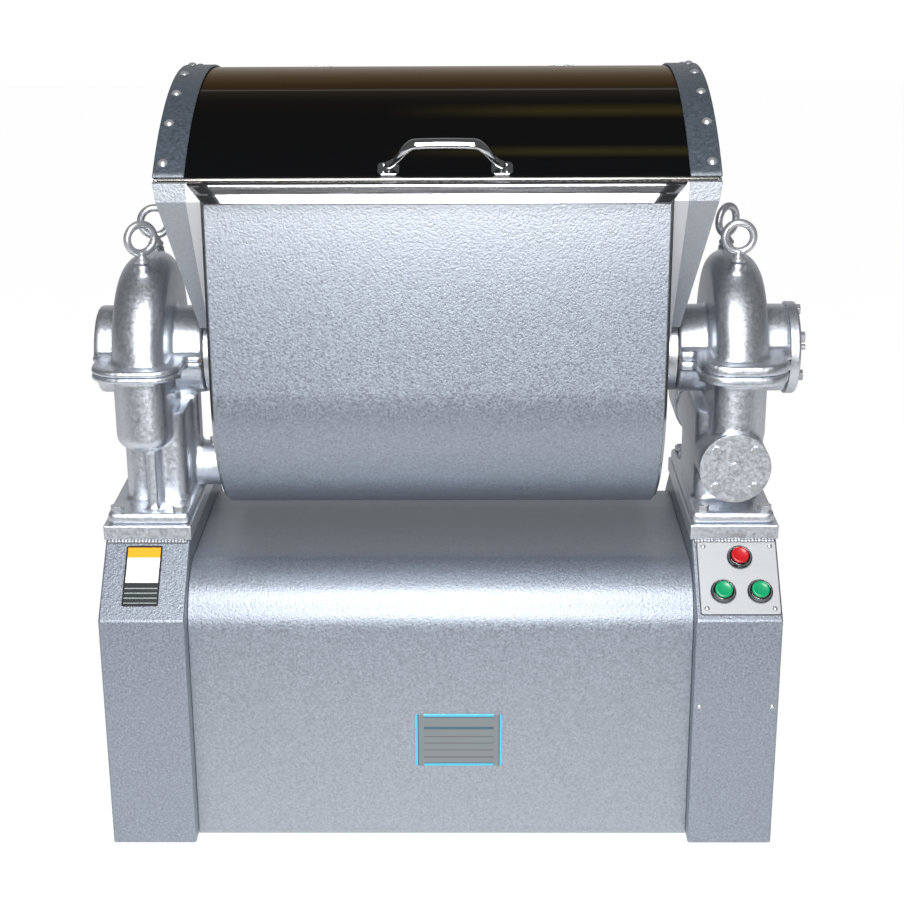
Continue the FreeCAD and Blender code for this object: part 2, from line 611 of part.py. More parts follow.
def casing_lower(side):
    end = outer_boss_end(side)
    body = drum(0).fuse([bosses(end)]).common(half_space(False))
    body = body.fuse([split_flange(AXIS_HEIGHT - half_flange(side), AXIS_HEIGHT, end),
                      pillar(0, TOP_PLATE_TOP), base_flange()])
    pillar_hollow = pillar(CASTING_WALL, TOP_PLATE_TOP - OVERCUT)
    if side == LEFT:
        rib_x = (PILLAR_IN + PILLAR_OUT) / 2
        rib = box(rib_x - RIB_THICKNESS / 2, rib_x + RIB_THICKNESS / 2,
                  -PILLAR_HALF_DEPTH - RIB_REACH, PILLAR_HALF_DEPTH + RIB_REACH,
                  TOP_PLATE_TOP, AXIS_HEIGHT - TYRE_RADIUS / 2)
        web = box(WEB_IN, PILLAR_IN + OVERCUT, -WEB_HALF_DEPTH, WEB_HALF_DEPTH, PINION_HEIGHT, AXIS_HEIGHT)
        web = web.fuse(box(PILLAR_IN, TYRE_IN + OVERCUT, -WEB_HALF_DEPTH, WEB_HALF_DEPTH,
                           AXIS_HEIGHT - TYRE_RADIUS / 2 - OVERCUT, AXIS_HEIGHT))
        boss = cylinder_x(PINION_BOSS_RADIUS, PINION_BOSS_END, PILLAR_IN + OVERCUT, 0, PINION_HEIGHT)
        seat = cylinder_x(PINION_BUSH_RADIUS, PINION_BOSS_END - OVERCUT, PILLAR_OUT - SEAT_WALL,
                          0, PINION_HEIGHT)
        body = body.fuse([rib.cut(pillar(CASTING_WALL / 2, 0)), web, boss])
        body = body.cut([drum(CASTING_WALL), pillar_hollow, shaft_bores(side), seat])
    else:
        housing = cylinder_y(WORM_HOUSING_RADIUS, -WORM_HOUSING_FRONT, WORM_HOUSING_REAR, WORM_X, WORM_HEIGHT)
        bore = cylinder_y(WORM_BORE_RADIUS, -WORM_HOUSING_FRONT - OVERCUT, WORM_HOUSING_REAR + OVERCUT,
                          WORM_X, WORM_HEIGHT)
        body = body.fuse(housing)
        body = body.cut([drum(CASTING_WALL), pillar_hollow, shaft_bores(side), bore])
    return on_side(body.removeSplitter(), side)


def ring_x(outer, inner, x0, x1, y=0.0, z=AXIS_HEIGHT):
    return cylinder_x(outer, x0, x1, y, z).cut(cylinder_x(inner, x0 - 1, x1 + 1, y, z))


def trunnion_bushes():
    bore = TRUNNION_RADIUS + RUN_CLEARANCE
    inner = ring_x(TRUNNION_BUSH_RADIUS, bore, INNER_BOSS_END, TYRE_IN + CASTING_WALL)
    outer = ring_x(TRUNNION_BUSH_RADIUS, bore, TYRE_OUT - CASTING_WALL, OUTER_BOSS_RIGHT)
    return group([on_side(inner, LEFT), inner, outer])


def shaft_end_bush():
    bush = ring_x(SHAFT_BUSH_RADIUS, SHAFT_RADIUS + RUN_CLEARANCE, TYRE_OUT - CASTING_WALL,
                  OUTER_BOSS_LEFT - CASTING_WALL)
    return on_side(bush, LEFT)


def shaft_end_plug():
    plug = cylinder_x(SHAFT_BUSH_RADIUS, OUTER_BOSS_LEFT - CASTING_WALL, OUTER_BOSS_LEFT)
    return on_side(plug, LEFT)


def pinion_bushes():
    inner = ring_x(PINION_BUSH_RADIUS, PINION_SHAFT_RADIUS + RUN_CLEARANCE,
                   PINION_BOSS_END + SEAT_WALL, PILLAR_IN + CASTING_WALL, 0, PINION_HEIGHT)
    outer = ring_x(PINION_BUSH_RADIUS, PINION_SHAFT_RADIUS + RUN_CLEARANCE,
                   PILLAR_OUT - CASTING_WALL, PILLAR_OUT - SEAT_WALL, 0, PINION_HEIGHT)
    cap = cylinder_x(PINION_BUSH_RADIUS, PINION_BOSS_END, PINION_BOSS_END + SEAT_WALL, 0, PINION_HEIGHT)
    return [on_side(fuse(inner, cap), LEFT), on_side(outer, LEFT)]


def shaft_bushes():
    return group([shaft_end_bush()] + pinion_bushes() + worm_bushes())


def bearing_cap():
    cap = cylinder_x(CAP_RADIUS, OUTER_BOSS_RIGHT, OUTER_BOSS_RIGHT + CAP_THICKNESS)
    return round_edges(cap, 3.0, lambda edge: edge.Closed and edge.Vertexes[0].X > OUTER_BOSS_RIGHT + 1)


def cap_bolts():
    face = OUTER_BOSS_RIGHT + CAP_THICKNESS
    heads = []
    for index in range(CAP_BOLT_COUNT):
        angle = 2 * math.pi * (index + 0.5) / CAP_BOLT_COUNT
        base = V(face, CAP_BOLT_CIRCLE * math.cos(angle), AXIS_HEIGHT + CAP_BOLT_CIRCLE * math.sin(angle))
        heads.append(hexagon(M8_HEAD_RADIUS, M8_HEAD_HEIGHT, base, X_AXIS))
    return heads


def grease_fitting():
    face = OUTER_BOSS_RIGHT + CAP_THICKNESS
    nut = hexagon(M8_HEAD_RADIUS, GREASE_NUT_HEIGHT, V(face, 0, AXIS_HEIGHT), X_AXIS)
    return fuse(nut, cylinder_x(GREASE_NIPPLE_RADIUS, face, face + GREASE_NIPPLE_LENGTH))


def worm_cap():
    face = -WORM_HOUSING_FRONT - WORM_CAP_THICKNESS
    disc = cylinder_y(WORM_HOUSING_RADIUS, face, -WORM_HOUSING_FRONT, WORM_X, WORM_HEIGHT)
    return fuse(disc, cylinder_y(WORM_PLUG_RADIUS, face - WORM_PLUG_HEIGHT, face, WORM_X, WORM_HEIGHT))


def worm_cap_bolts():
    heads = []
    for index in range(WORM_BOLT_COUNT):
        angle = 2 * math.pi * (index + 0.5) / WORM_BOLT_COUNT
        base = V(WORM_X + WORM_BOLT_CIRCLE * math.cos(angle), -WORM_HOUSING_FRONT - WORM_CAP_THICKNESS,
                 WORM_HEIGHT + WORM_BOLT_CIRCLE * math.sin(angle))
        heads.append(hexagon(M6_HEAD_RADIUS, M6_HEAD_HEIGHT, base, Y_AXIS * -1))
    return heads


def worm_bushes():
    bushes = []
    for y0 in (-WORM_HOUSING_FRONT, WORM_HOUSING_REAR - WORM_BUSH_WIDTH):
        ring = cylinder_y(WORM_BORE_RADIUS, y0, y0 + WORM_BUSH_WIDTH, WORM_X, WORM_HEIGHT)
        hole = cylinder_y(WORM_SHAFT_RADIUS + RUN_CLEARANCE, y0 - 1, y0 + WORM_BUSH_WIDTH + 1,
                          WORM_X, WORM_HEIGHT)
        bushes.append(ring.cut(hole))
    return bushes


def eye_bolt(x, y, turn):
    ring = Part.makeTorus(EYE_RING_RADIUS, EYE_ROD_RADIUS, V(0, 0, EYE_HEIGHT), Y_AXIS)
    collar = cylinder_z(EYE_BOSS_RADIUS - 1, EYE_BOSS_TOP, EYE_HEIGHT - EYE_RING_RADIUS, 0, 0)
    shank = cylinder_z(EYE_SHANK_RADIUS, EYE_BOSS_TOP - 2 * EYE_BOSS_RADIUS, EYE_BOSS_TOP, 0, 0)
    bolt = fuse(ring, collar, shank)
    bolt.rotate(V(0, 0, 0), Z_AXIS, turn)
    bolt.translate(V(x, y, 0))
    return bolt


def eye_bolts():
    places = ((-EYE_X, -EYE_Y), (EYE_X, -EYE_Y), (-EYE_X, EYE_Y), (EYE_X, EYE_Y))
    return group([eye_bolt(x, y, turn) for (x, y), turn in zip(places, EYE_TURNS)])


def base_bolts():
    heads = []
    for x in (BASE_BOLT_X_IN, BASE_BOLT_X_OUT):
        for y in (-BASE_BOLT_Y, BASE_BOLT_Y):
            for side in (LEFT, RIGHT):
                heads.append(hexagon(M10_HEAD_RADIUS, M10_HEAD_HEIGHT, V(side * x, y, BASE_FLANGE_TOP), Z_AXIS))
    return group(heads)


def split_bolts():
    heads = []
    for side in (LEFT, RIGHT):
        for x in (SPLIT_FLANGE_IN + SPLIT_BOLT_INSET, SPLIT_FLANGE_OUT - SPLIT_BOLT_INSET):
            for y in (-SPLIT_BOLT_Y, SPLIT_BOLT_Y):
                base = V(side * x, y, AXIS_HEIGHT - half_flange(side))
                heads.append(hexagon(M8_HEAD_RADIUS, M8_HEAD_HEIGHT, base, Z_AXIS * -1))
    return heads


def casing_bolts():
    return group(cap_bolts() + worm_cap_bolts() + split_bolts())


def oil_plug():
    x = -(PINION_BOSS_END + WEB_IN) / 2
    top = PINION_HEIGHT + PINION_BOSS_RADIUS
    plug = cylinder_z(4.0, PINION_HEIGHT + PINION_BUSH_RADIUS, top + 4, x, 0)
    plug = fuse(plug, hexagon(M8_HEAD_RADIUS, M8_HEAD_HEIGHT, V(x, 0, top), Z_AXIS))
    return plug.cut(cylinder_x(PINION_BOSS_RADIUS, -PILLAR_IN, -PINION_BOSS_END, 0, PINION_HEIGHT))


# Mixing shaft drive


def tooth_outline(module, teeth, phase):
    """Give the (y, z) points of straight-flanked teeth, turned by a phase in teeth."""
    pitch = module * teeth / 2
    tip = pitch + module
    root = pitch - TOOTH_ROOT_CLEARANCE * module
    step = 2 * math.pi / teeth
    half_pitch = (math.pi * module / 2 - TOOTH_BACKLASH) / 2
    points = []
    for tooth in range(teeth):
        centre = step * (tooth + phase)
        for radius, sign in ((root, -1), (tip, -1), (tip, 1), (root, 1)):
            half = half_pitch - (radius - pitch) * PRESSURE_SLOPE
            angle = centre + sign * half / radius
            points.append((radius * math.cos(angle), radius * math.sin(angle)))
    return points


def gear(teeth, x0, width, bore, z, phase):
    """Make a spur gear about X."""
    outline = [(y, z + up) for y, up in tooth_outline(GEAR_MODULE, teeth, phase)]
    return prism_x(outline, x0, x0 + width).cut(cylinder_x(bore, x0 - 1, x0 + width + 1, 0, z))


def drive_gear():
    wheel = gear(DRIVE_GEAR_TEETH, GEAR_IN, GEAR_WIDTH, SHAFT_RADIUS, AXIS_HEIGHT, 0)
    return on_side(wheel, LEFT)


def pinion_gear():
    # A tooth of the big gear and a gap of the pinion meet on the line between the shafts.
    big_phase = (-DRIVE_GEAR_TEETH / 4) % 1
    phase = (0.5 - big_phase + PINION_TEETH / 4) % 1
    wheel = gear(PINION_TEETH, GEAR_IN, GEAR_WIDTH, PINION_SHAFT_RADIUS, PINION_HEIGHT, phase)
    return on_side(wheel, LEFT)


def mixing_shaft():
    """Run from the end bearing of the left casing, through the bowl, into the right trunnion."""
    return cylinder_x(SHAFT_RADIUS, -OUTER_BOSS_LEFT + CASTING_WALL + SIDE_GAP, HUB_END)


def pinion_shaft():
    shaft = cylinder_x(PINION_SHAFT_RADIUS, PINION_BOSS_END + SEAT_WALL + SIDE_GAP,
                       PILLAR_OUT - SEAT_WALL - SIDE_GAP, 0, PINION_HEIGHT)
    return on_side(shaft, LEFT)


def pulley(radius, z, bore):
    """Turn a pulley with one V groove about X."""
    points = [(bore, PULLEY_IN), (radius, PULLEY_IN), (radius, PULLEY_MID - GROOVE_TOP_HALF),
              (radius - GROOVE_DEPTH, PULLEY_MID - GROOVE_BOTTOM_HALF),
              (radius - GROOVE_DEPTH, PULLEY_MID + GROOVE_BOTTOM_HALF),
              (radius, PULLEY_MID + GROOVE_TOP_HALF), (radius, PULLEY_IN + PULLEY_WIDTH),
              (bore, PULLEY_IN + PULLEY_WIDTH)]
    corners = [V(x, 0, z + r) for r, x in points]
    face = Part.Face(Part.makePolygon(corners + corners[:1]))
    return face.revolve(V(0, 0, z), X_AXIS, 360)


def driven_pulley():
    return on_side(pulley(DRIVEN_PULLEY_RADIUS, PINION_HEIGHT, PINION_SHAFT_RADIUS), LEFT)


def motor_pulley():
    return on_side(pulley(MOTOR_PULLEY_RADIUS, MOTOR_HEIGHT, MOTOR_SHAFT_RADIUS), LEFT)


def motor_shaft():
    shaft = cylinder_x(MOTOR_SHAFT_RADIUS, MOTOR_END - MOTOR_RADIUS / 2, PULLEY_IN + PULLEY_WIDTH,
                       0, MOTOR_HEIGHT)
    return on_side(shaft, LEFT)


def belt_loop(top_radius, bottom_radius, x0, x1):
    """Make the convex shape round both pulleys, as a plate."""
    drop = PINION_HEIGHT - MOTOR_HEIGHT
    lean = math.asin((top_radius - bottom_radius) / drop)
    rise = math.sin(lean)
    reach = math.cos(lean)
    a = V(x0, top_radius * reach, PINION_HEIGHT - top_radius * rise)
    b = V(x0, -top_radius * reach, PINION_HEIGHT - top_radius * rise)
    c = V(x0, -bottom_radius * reach, MOTOR_HEIGHT - bottom_radius * rise)
    d = V(x0, bottom_radius * reach, MOTOR_HEIGHT - bottom_radius * rise)
    top = V(x0, 0, PINION_HEIGHT + top_radius)
    bottom = V(x0, 0, MOTOR_HEIGHT - bottom_radius)
    edges = [Part.Arc(a, top, b).toShape(), Part.LineSegment(b, c).toShape(),
             Part.Arc(c, bottom, d).toShape(), Part.LineSegment(d, a).toShape()]
    return Part.Face(Part.Wire(edges)).extrude(V(x1 - x0, 0, 0))


def drive_belt():
    seat = GROOVE_DEPTH - BELT_GAP
    half = GROOVE_BOTTOM_HALF - BELT_GAP
    inner_top = DRIVEN_PULLEY_RADIUS - seat
    inner_bottom = MOTOR_PULLEY_RADIUS - seat
    outer = belt_loop(inner_top + BELT_DEPTH, inner_bottom + BELT_DEPTH, PULLEY_MID - half, PULLEY_MID + half)
    inner = belt_loop(inner_top, inner_bottom, PULLEY_MID - half - 1, PULLEY_MID + half + 1)
    return on_side(outer.cut(inner), LEFT)


def main_motor():
    """Make the finned motor on its two feet, with a bore for its shaft."""
    start = MOTOR_END - MOTOR_LENGTH
    body = cylinder_x(MOTOR_RADIUS - MOTOR_FIN_HEIGHT, start, MOTOR_END, 0, MOTOR_HEIGHT)
    fins = []
    for index in range(MOTOR_FIN_COUNT):
        angle = 360.0 * (index + 0.5) / MOTOR_FIN_COUNT
        fin = box(start + MOTOR_FOOT_WIDTH, MOTOR_END - MOTOR_FOOT_WIDTH / 2,
                  -MOTOR_FIN_THICKNESS / 2, MOTOR_FIN_THICKNESS / 2,
                  MOTOR_HEIGHT, MOTOR_HEIGHT + MOTOR_RADIUS)
        fin.rotate(V(0, 0, MOTOR_HEIGHT), X_AXIS, angle)
        fins.append(fin)
    for end in (start, MOTOR_END - MOTOR_FOOT_WIDTH / 2):
        fins.append(cylinder_x(MOTOR_RADIUS, end, end + MOTOR_FOOT_WIDTH / 2, 0, MOTOR_HEIGHT))
    for x in (start + MOTOR_FOOT_WIDTH, MOTOR_END - 2 * MOTOR_FOOT_WIDTH):
        fins.append(box(x, x + MOTOR_FOOT_WIDTH, -MOTOR_FOOT_HALF_SPREAD, MOTOR_FOOT_HALF_SPREAD,
                        BASE_PLATE_THICKNESS, BASE_PLATE_THICKNESS + MOTOR_FOOT_THICKNESS))
        fins.append(box(x, x + MOTOR_FOOT_WIDTH, -MOTOR_RADIUS * 0.7, MOTOR_RADIUS * 0.7,
                        BASE_PLATE_THICKNESS, MOTOR_HEIGHT - MOTOR_RADIUS / 2))
    body = body.fuse(fins)
    bore = cylinder_x(MOTOR_SHAFT_RADIUS + RUN_CLEARANCE, MOTOR_END - MOTOR_RADIUS / 2 - SIDE_GAP,
                      MOTOR_END + 1, 0, MOTOR_HEIGHT)
    return on_side(body.cut(bore).removeSplitter(), LEFT)


# Tilt drive


def worm_thread():
    """Carry a tooth of a rack along a right-handed helix about Y, with its crest under the wheel at Y = 0."""
    length = WORM_TURNS * WORM_LEAD
    tip = WORM_PITCH_RADIUS + WORM_MODULE - SIDE_GAP
    corners = []
    for radius, sign in ((WORM_ROOT_RADIUS - 1, -1), (tip, -1), (tip, 1), (WORM_ROOT_RADIUS - 1, 1)):
        half = (WORM_LEAD / 2 - TOOTH_BACKLASH) / 2 - (radius - WORM_PITCH_RADIUS) * PRESSURE_SLOPE
        corners.append(V(radius, 0, sign * half))
    rack_tooth = Part.makePolygon(corners + corners[:1])
    helix = Part.Wire(Part.makeHelix(WORM_LEAD, length, WORM_ROOT_RADIUS))
    thread = helix.makePipeShell([rack_tooth], True, True)
    thread.translate(V(0, 0, -length / 2))
    thread.rotate(V(0, 0, 0), X_AXIS, -90)
    thread.translate(V(WORM_X, 0, WORM_HEIGHT))
    return thread


def worm_shaft():
    shaft = cylinder_y(WORM_SHAFT_RADIUS, -WORM_HOUSING_FRONT + SIDE_GAP,
                       WORM_HOUSING_REAR + TILT_MOTOR_SHAFT_DEPTH,
                       WORM_X, WORM_HEIGHT)
    reach = WORM_TURNS * WORM_LEAD / 2 + WORM_CORE_REACH
    core = cylinder_y(WORM_ROOT_RADIUS, -reach, reach, WORM_X, WORM_HEIGHT)
    return fuse(shaft, core, worm_thread())


def worm_wheel():
    """Loft the wheel between two outlines turned so that the teeth lean with the thread."""
    half = WORM_WHEEL_WIDTH / 2
    lean = WORM_LEAD / (2 * math.pi * WORM_PITCH_RADIUS)
    turn = half * lean / WHEEL_PITCH_RADIUS * WORM_WHEEL_TEETH / (2 * math.pi)
    ends = []
    for side in (LEFT, RIGHT):
        outline = tooth_outline(WORM_MODULE, WORM_WHEEL_TEETH, 0.5 + side * turn)
        corners = [V(WORM_X + side * half, y, AXIS_HEIGHT + z) for y, z in outline]
        ends.append(Part.makePolygon(corners + corners[:1]))
    rim = Part.makeLoft(ends, True, True)
    return rim.cut(cylinder_x(TRUNNION_RADIUS, WORM_X - half - 1, WORM_X + half + 1))


def tilt_motor():
    """Make the small motor that is flanged to the back of the right casing, on the worm's axis."""
    start = WORM_HOUSING_REAR
    flange = cylinder_y(WORM_HOUSING_RADIUS, start, start + TILT_MOTOR_FLANGE, WORM_X, WORM_HEIGHT)
    body = cylinder_y(TILT_MOTOR_RADIUS, start + TILT_MOTOR_FLANGE, start + TILT_MOTOR_LENGTH,
                      WORM_X, WORM_HEIGHT)
    body = round_edges(body, 6.0,
                       lambda edge: edge.Closed and edge.Vertexes[0].Y > start + TILT_MOTOR_FLANGE + 1)
    bore = cylinder_y(WORM_SHAFT_RADIUS + RUN_CLEARANCE, start - 1, start + TILT_MOTOR_SHAFT_DEPTH + SIDE_GAP,
                      WORM_X, WORM_HEIGHT)
    return fuse(flange, body).cut(bore)


# Bowl


def trough_section(radius, front, rear):
    """Make the U outline about the shaft as a face: a half round with straight walls up to the mouth."""
    a = V(0, -radius, front)
    b = V(0, -radius, AXIS_HEIGHT)
    bottom = V(0, 0, AXIS_HEIGHT - radius)
    c = V(0, radius, AXIS_HEIGHT)
    d = V(0, radius, rear)
    edges = [Part.LineSegment(a, b).toShape(), Part.Arc(b, bottom, c).toShape(),
             Part.LineSegment(c, d).toShape(), Part.LineSegment(d, a).toShape()]
    return Part.Face(Part.Wire(edges))


def carried(face, x0, x1):
    moved = face.copy()
    moved.translate(V(x0, 0, 0))
    return moved.extrude(V(x1 - x0, 0, 0))


def trough():
    outer = carried(trough_section(TROUGH_RADIUS, MOUTH_FRONT, MOUTH_REAR),
                    -TROUGH_HALF_LENGTH, TROUGH_HALF_LENGTH)
    rise = 2 * OVERCUT
    inner = carried(trough_section(TROUGH_RADIUS - TROUGH_SHEET, MOUTH_FRONT + rise, MOUTH_REAR + rise),
                    -TROUGH_HALF_LENGTH - 1, TROUGH_HALF_LENGTH + 1)
    return outer.cut(inner)


def end_wall(side):
    wall = carried(trough_section(TROUGH_RADIUS, MOUTH_FRONT - END_DROP, MOUTH_REAR),
                   TROUGH_HALF_LENGTH, END_WALL_OUT)
    return on_side(wall.cut(cylinder_x(SHAFT_BUSH_RADIUS, 0, HALF_WIDTH)), side)


def jacket():
    outer = carried(trough_section(TROUGH_RADIUS + JACKET_THICKNESS, JACKET_TOP, JACKET_TOP),
                    -TROUGH_HALF_LENGTH, TROUGH_HALF_LENGTH)
    inner = carried(trough_section(TROUGH_RADIUS, JACKET_TOP + 1, JACKET_TOP + 1),
                    -TROUGH_HALF_LENGTH - 1, TROUGH_HALF_LENGTH + 1)
    return outer.cut(inner)


def rim_lip():
    """Fold a channel along the front of the mouth, with ends that slope inwards to its lower edge."""
    front = -TROUGH_RADIUS - RIM_REACH
    low = MOUTH_FRONT - RIM_DEPTH
    outline = [(-TROUGH_RADIUS, MOUTH_FRONT), (front, MOUTH_FRONT), (front, low), (front + 3 * RIM_SHEET, low),
               (front + 3 * RIM_SHEET, low + RIM_SHEET), (front + RIM_SHEET, low + RIM_SHEET),
               (front + RIM_SHEET, MOUTH_FRONT - RIM_SHEET), (-TROUGH_RADIUS, MOUTH_FRONT - RIM_SHEET)]
    lip = prism_x(outline, -RIM_TOP_HALF_LENGTH, RIM_TOP_HALF_LENGTH)
    corner = [V(RIM_TOP_HALF_LENGTH, front - 1, MOUTH_FRONT), V(RIM_TOP_HALF_LENGTH + 1, front - 1, low - 1),
              V(RIM_BOTTOM_HALF_LENGTH, front - 1, low - 1)]
    wedge = Part.Face(Part.makePolygon(corner + corner[:1])).extrude(V(0, RIM_REACH + 2, 0))
    return lip.cut([wedge, on_side(wedge, LEFT)])


def mouth_height(y):
    """Give the height of the mouth's sloping end edges at a depth."""
    front = MOUTH_FRONT - END_DROP
    return front + (MOUTH_REAR - front) * (y + TROUGH_RADIUS) / (2 * TROUGH_RADIUS)


def arm_outline(inset):
    """Give the V of an end arm in (y, z), from the mouth down to the trunnion, moved in by an inset."""
    half = TROUGH_RADIUS - inset
    foot = ARM_FOOT_HALF_DEPTH - inset
    low = AXIS_HEIGHT + ARM_FOOT_RISE
    return [(-half, mouth_height(-half) - inset), (-half, MOUTH_FRONT - RIM_DEPTH - inset), (-foot, low), (foot, low),
            (half, MOUTH_FRONT - RIM_DEPTH - inset), (half, mouth_height(half) - inset)]


def end_arm(side):
    """Make the polished pan between an end wall and its painted cheek."""
    body = prism_x(arm_outline(0), END_WALL_OUT, ARM_OUT)
    hollow = prism_x(arm_outline(ARM_SHEET), END_WALL_OUT - 1, ARM_OUT - ARM_SHEET)
    return on_side(body.cut([hollow, cylinder_x(HUB_RADIUS, 0, HALF_WIDTH)]), side)


def cheek_out(z):
    """Give the distance of a cheek's sloping face from the middle at a height."""
    low = AXIS_HEIGHT + CHEEK_FOOT_RADIUS
    return CHEEK_OUT_FOOT + (CHEEK_OUT_TOP - CHEEK_OUT_FOOT) * (z - low) / (MOUTH_FRONT - low)


def cheek_wedge(inset):
    low = AXIS_HEIGHT
    high = MOUTH_FRONT
    front = TROUGH_RADIUS + OVERCUT
    corners = [V(ARM_OUT - 1, -front, low), V(cheek_out(low) - inset, -front, low),
               V(cheek_out(high) - inset, -front, high), V(cheek_out(high) - inset, -front, MOUTH_REAR + OVERCUT),
               V(ARM_OUT - 1, -front, MOUTH_REAR + OVERCUT)]
    return Part.Face(Part.makePolygon(corners + corners[:1])).extrude(V(0, 2 * front, 0))


def end_cheek(side):
    """Make the painted tapered pan outside an end arm."""
    body = prism_x(arm_outline(0), ARM_OUT, HALF_WIDTH).common(cheek_wedge(0))
    hollow = prism_x(arm_outline(ARM_SHEET), ARM_OUT - 1, HALF_WIDTH).common(cheek_wedge(ARM_SHEET))
    return on_side(body.cut([hollow, cylinder_x(CHEEK_FOOT_RADIUS, 0, HALF_WIDTH)]), side)


def trunnion(side):
    """Make a hub flange and the hollow journal that turns in a casing."""
    end = TYRE_IN + CASTING_WALL if side == LEFT else OUTER_BOSS_RIGHT - SIDE_GAP
    bore = SHAFT_BUSH_RADIUS
    body = cylinder_x(HUB_RADIUS, END_WALL_OUT, HUB_END).fuse(cylinder_x(TRUNNION_RADIUS, END_WALL_OUT, end))
    return on_side(body.cut(cylinder_x(bore, 0, HALF_WIDTH * 2)).removeSplitter(), side)


def shaft_seal(side):
    """Make the bush that carries the mixing shaft in a trunnion and seals the bowl."""
    end = TYRE_IN + CASTING_WALL if side == LEFT else HUB_END
    seal = ring_x(SHAFT_BUSH_RADIUS, SHAFT_RADIUS + RUN_CLEARANCE, TROUGH_HALF_LENGTH, end)
    return on_side(seal, side)


# Agitator


def rod_between(start, end, radius):
    run = end - start
    return Part.makeCylinder(radius, run.Length, start, run)


def mixing_point(x, angle):
    radians = math.radians(angle)
    return V(x, MIXING_RADIUS * math.cos(radians), AXIS_HEIGHT + MIXING_RADIUS * math.sin(radians))


def agitator():
    """Make the hubs, arms and slanting rods that work the dough."""
    outer = MIXING_HALF_LENGTH
    pieces = []
    for x, turn in ((-outer + ARM_DISC_WIDTH / 2, 0.0), (outer - ARM_DISC_WIDTH / 2, MIXING_TWIST)):
        pieces.append(cylinder_x(ARM_DISC_RADIUS, x - ARM_DISC_WIDTH / 2, x + ARM_DISC_WIDTH / 2))
        for index in range(MIXING_ROD_COUNT):
            tip = mixing_point(x, 360.0 * index / MIXING_ROD_COUNT + turn)
            pieces.append(rod_between(V(x, 0, AXIS_HEIGHT), tip, MIXING_ROD_RADIUS))
            pieces.append(Part.makeSphere(MIXING_ROD_RADIUS, tip))
    for index in range(MIXING_ROD_COUNT):
        angle = 360.0 * index / MIXING_ROD_COUNT
        start = mixing_point(-outer + ARM_DISC_WIDTH / 2, angle)
        end = mixing_point(outer - ARM_DISC_WIDTH / 2, angle + MIXING_TWIST)
        pieces.append(rod_between(start, end, MIXING_ROD_RADIUS))
    body = pieces[0].fuse(pieces[1:] + [cylinder_x(SHAFT_RADIUS + 6.0, -outer, outer)])
    return body.cut(cylinder_x(SHAFT_RADIUS, -HALF_WIDTH, HALF_WIDTH))


# Lid


def arc_point(radius, y):
    return V(0, y, LID_CENTRE_Z + math.sqrt(radius ** 2 - (y - LID_CENTRE_Y) ** 2))


def arc_sheet(radius, thickness, y0, y1, x0, x1):
    """Bend a sheet to an arc about the lid's centre and carry it along X; its ends point at the centre."""
    outer = radius
    inner = radius - thickness
    middle = (y0 + y1) / 2
    shrink = inner / outer
    inner_y0 = LID_CENTRE_Y + (y0 - LID_CENTRE_Y) * shrink
    inner_y1 = LID_CENTRE_Y + (y1 - LID_CENTRE_Y) * shrink
    a = arc_point(outer, y0)
    b = arc_point(outer, y1)
    c = arc_point(inner, inner_y1)
    d = arc_point(inner, inner_y0)
    edges = [Part.Arc(a, arc_point(outer, middle), b).toShape(), Part.LineSegment(b, c).toShape(),
             Part.Arc(c, arc_point(inner, middle), d).toShape(), Part.LineSegment(d, a).toShape()]
    return carried(Part.Face(Part.Wire(edges)), x0, x1)


def lid_shell():
    return arc_sheet(LID_RADIUS, LID_SHEET, LID_FRONT_Y, LID_REAR_Y, -LID_HALF_LENGTH + LID_END_THICKNESS,
                     LID_HALF_LENGTH - LID_END_THICKNESS)


def lid_end(side):
    """Make the segment plate that closes an end of the lid."""
    radius = LID_RADIUS
    a = V(0, LID_FRONT_Y, mouth_height(LID_FRONT_Y) + LID_GAP)
    b = V(0, TROUGH_RADIUS, mouth_height(TROUGH_RADIUS) + LID_GAP)
    c = arc_point(radius, TROUGH_RADIUS)
    d = arc_point(radius, LID_FRONT_Y + 1)
    edges = [Part.LineSegment(a, b).toShape(), Part.LineSegment(b, c).toShape(),
             Part.Arc(c, arc_point(radius, 0), d).toShape(), Part.LineSegment(d, a).toShape()]
    plate = carried(Part.Face(Part.Wire(edges)), LID_HALF_LENGTH - LID_END_THICKNESS, LID_HALF_LENGTH)
    return on_side(plate, side)


def lid_strip(side):
    strip = arc_sheet(LID_RADIUS + STRIP_THICKNESS, STRIP_THICKNESS, LID_FRONT_Y, LID_REAR_Y, STRIP_IN, STRIP_OUT)
    return on_side(strip, side)


def lid_screws():
    heads = []
    radius = LID_RADIUS + STRIP_THICKNESS
    first = math.asin((LID_FRONT_Y - LID_CENTRE_Y) / radius) + 2 * LID_SCREW_INSET / radius
    last = math.asin((LID_REAR_Y - LID_CENTRE_Y) / radius) - 3 * LID_SCREW_INSET / radius
    for side in (LEFT, RIGHT):
        for index in range(LID_SCREW_COUNT):
            angle = first + (last - first) * index / (LID_SCREW_COUNT - 1)
            axis = V(0, math.sin(angle), math.cos(angle))
            base = V(side * (STRIP_OUT - LID_SCREW_INSET), LID_CENTRE_Y, LID_CENTRE_Z) + axis * radius
            heads.append(dome(LID_SCREW_RADIUS, LID_SCREW_HEAD, base, axis))
    return group(heads)


def hinge_places():
    return (-HINGE_SPREAD, HINGE_SPREAD)


def knuckle(x0, x1):
    hole = cylinder_x(HINGE_PIN_RADIUS + RUN_CLEARANCE, x0 - 1, x1 + 1, HINGE_Y, HINGE_Z)
    return cylinder_x(HINGE_KNUCKLE_RADIUS, x0, x1, HINGE_Y, HINGE_Z), hole


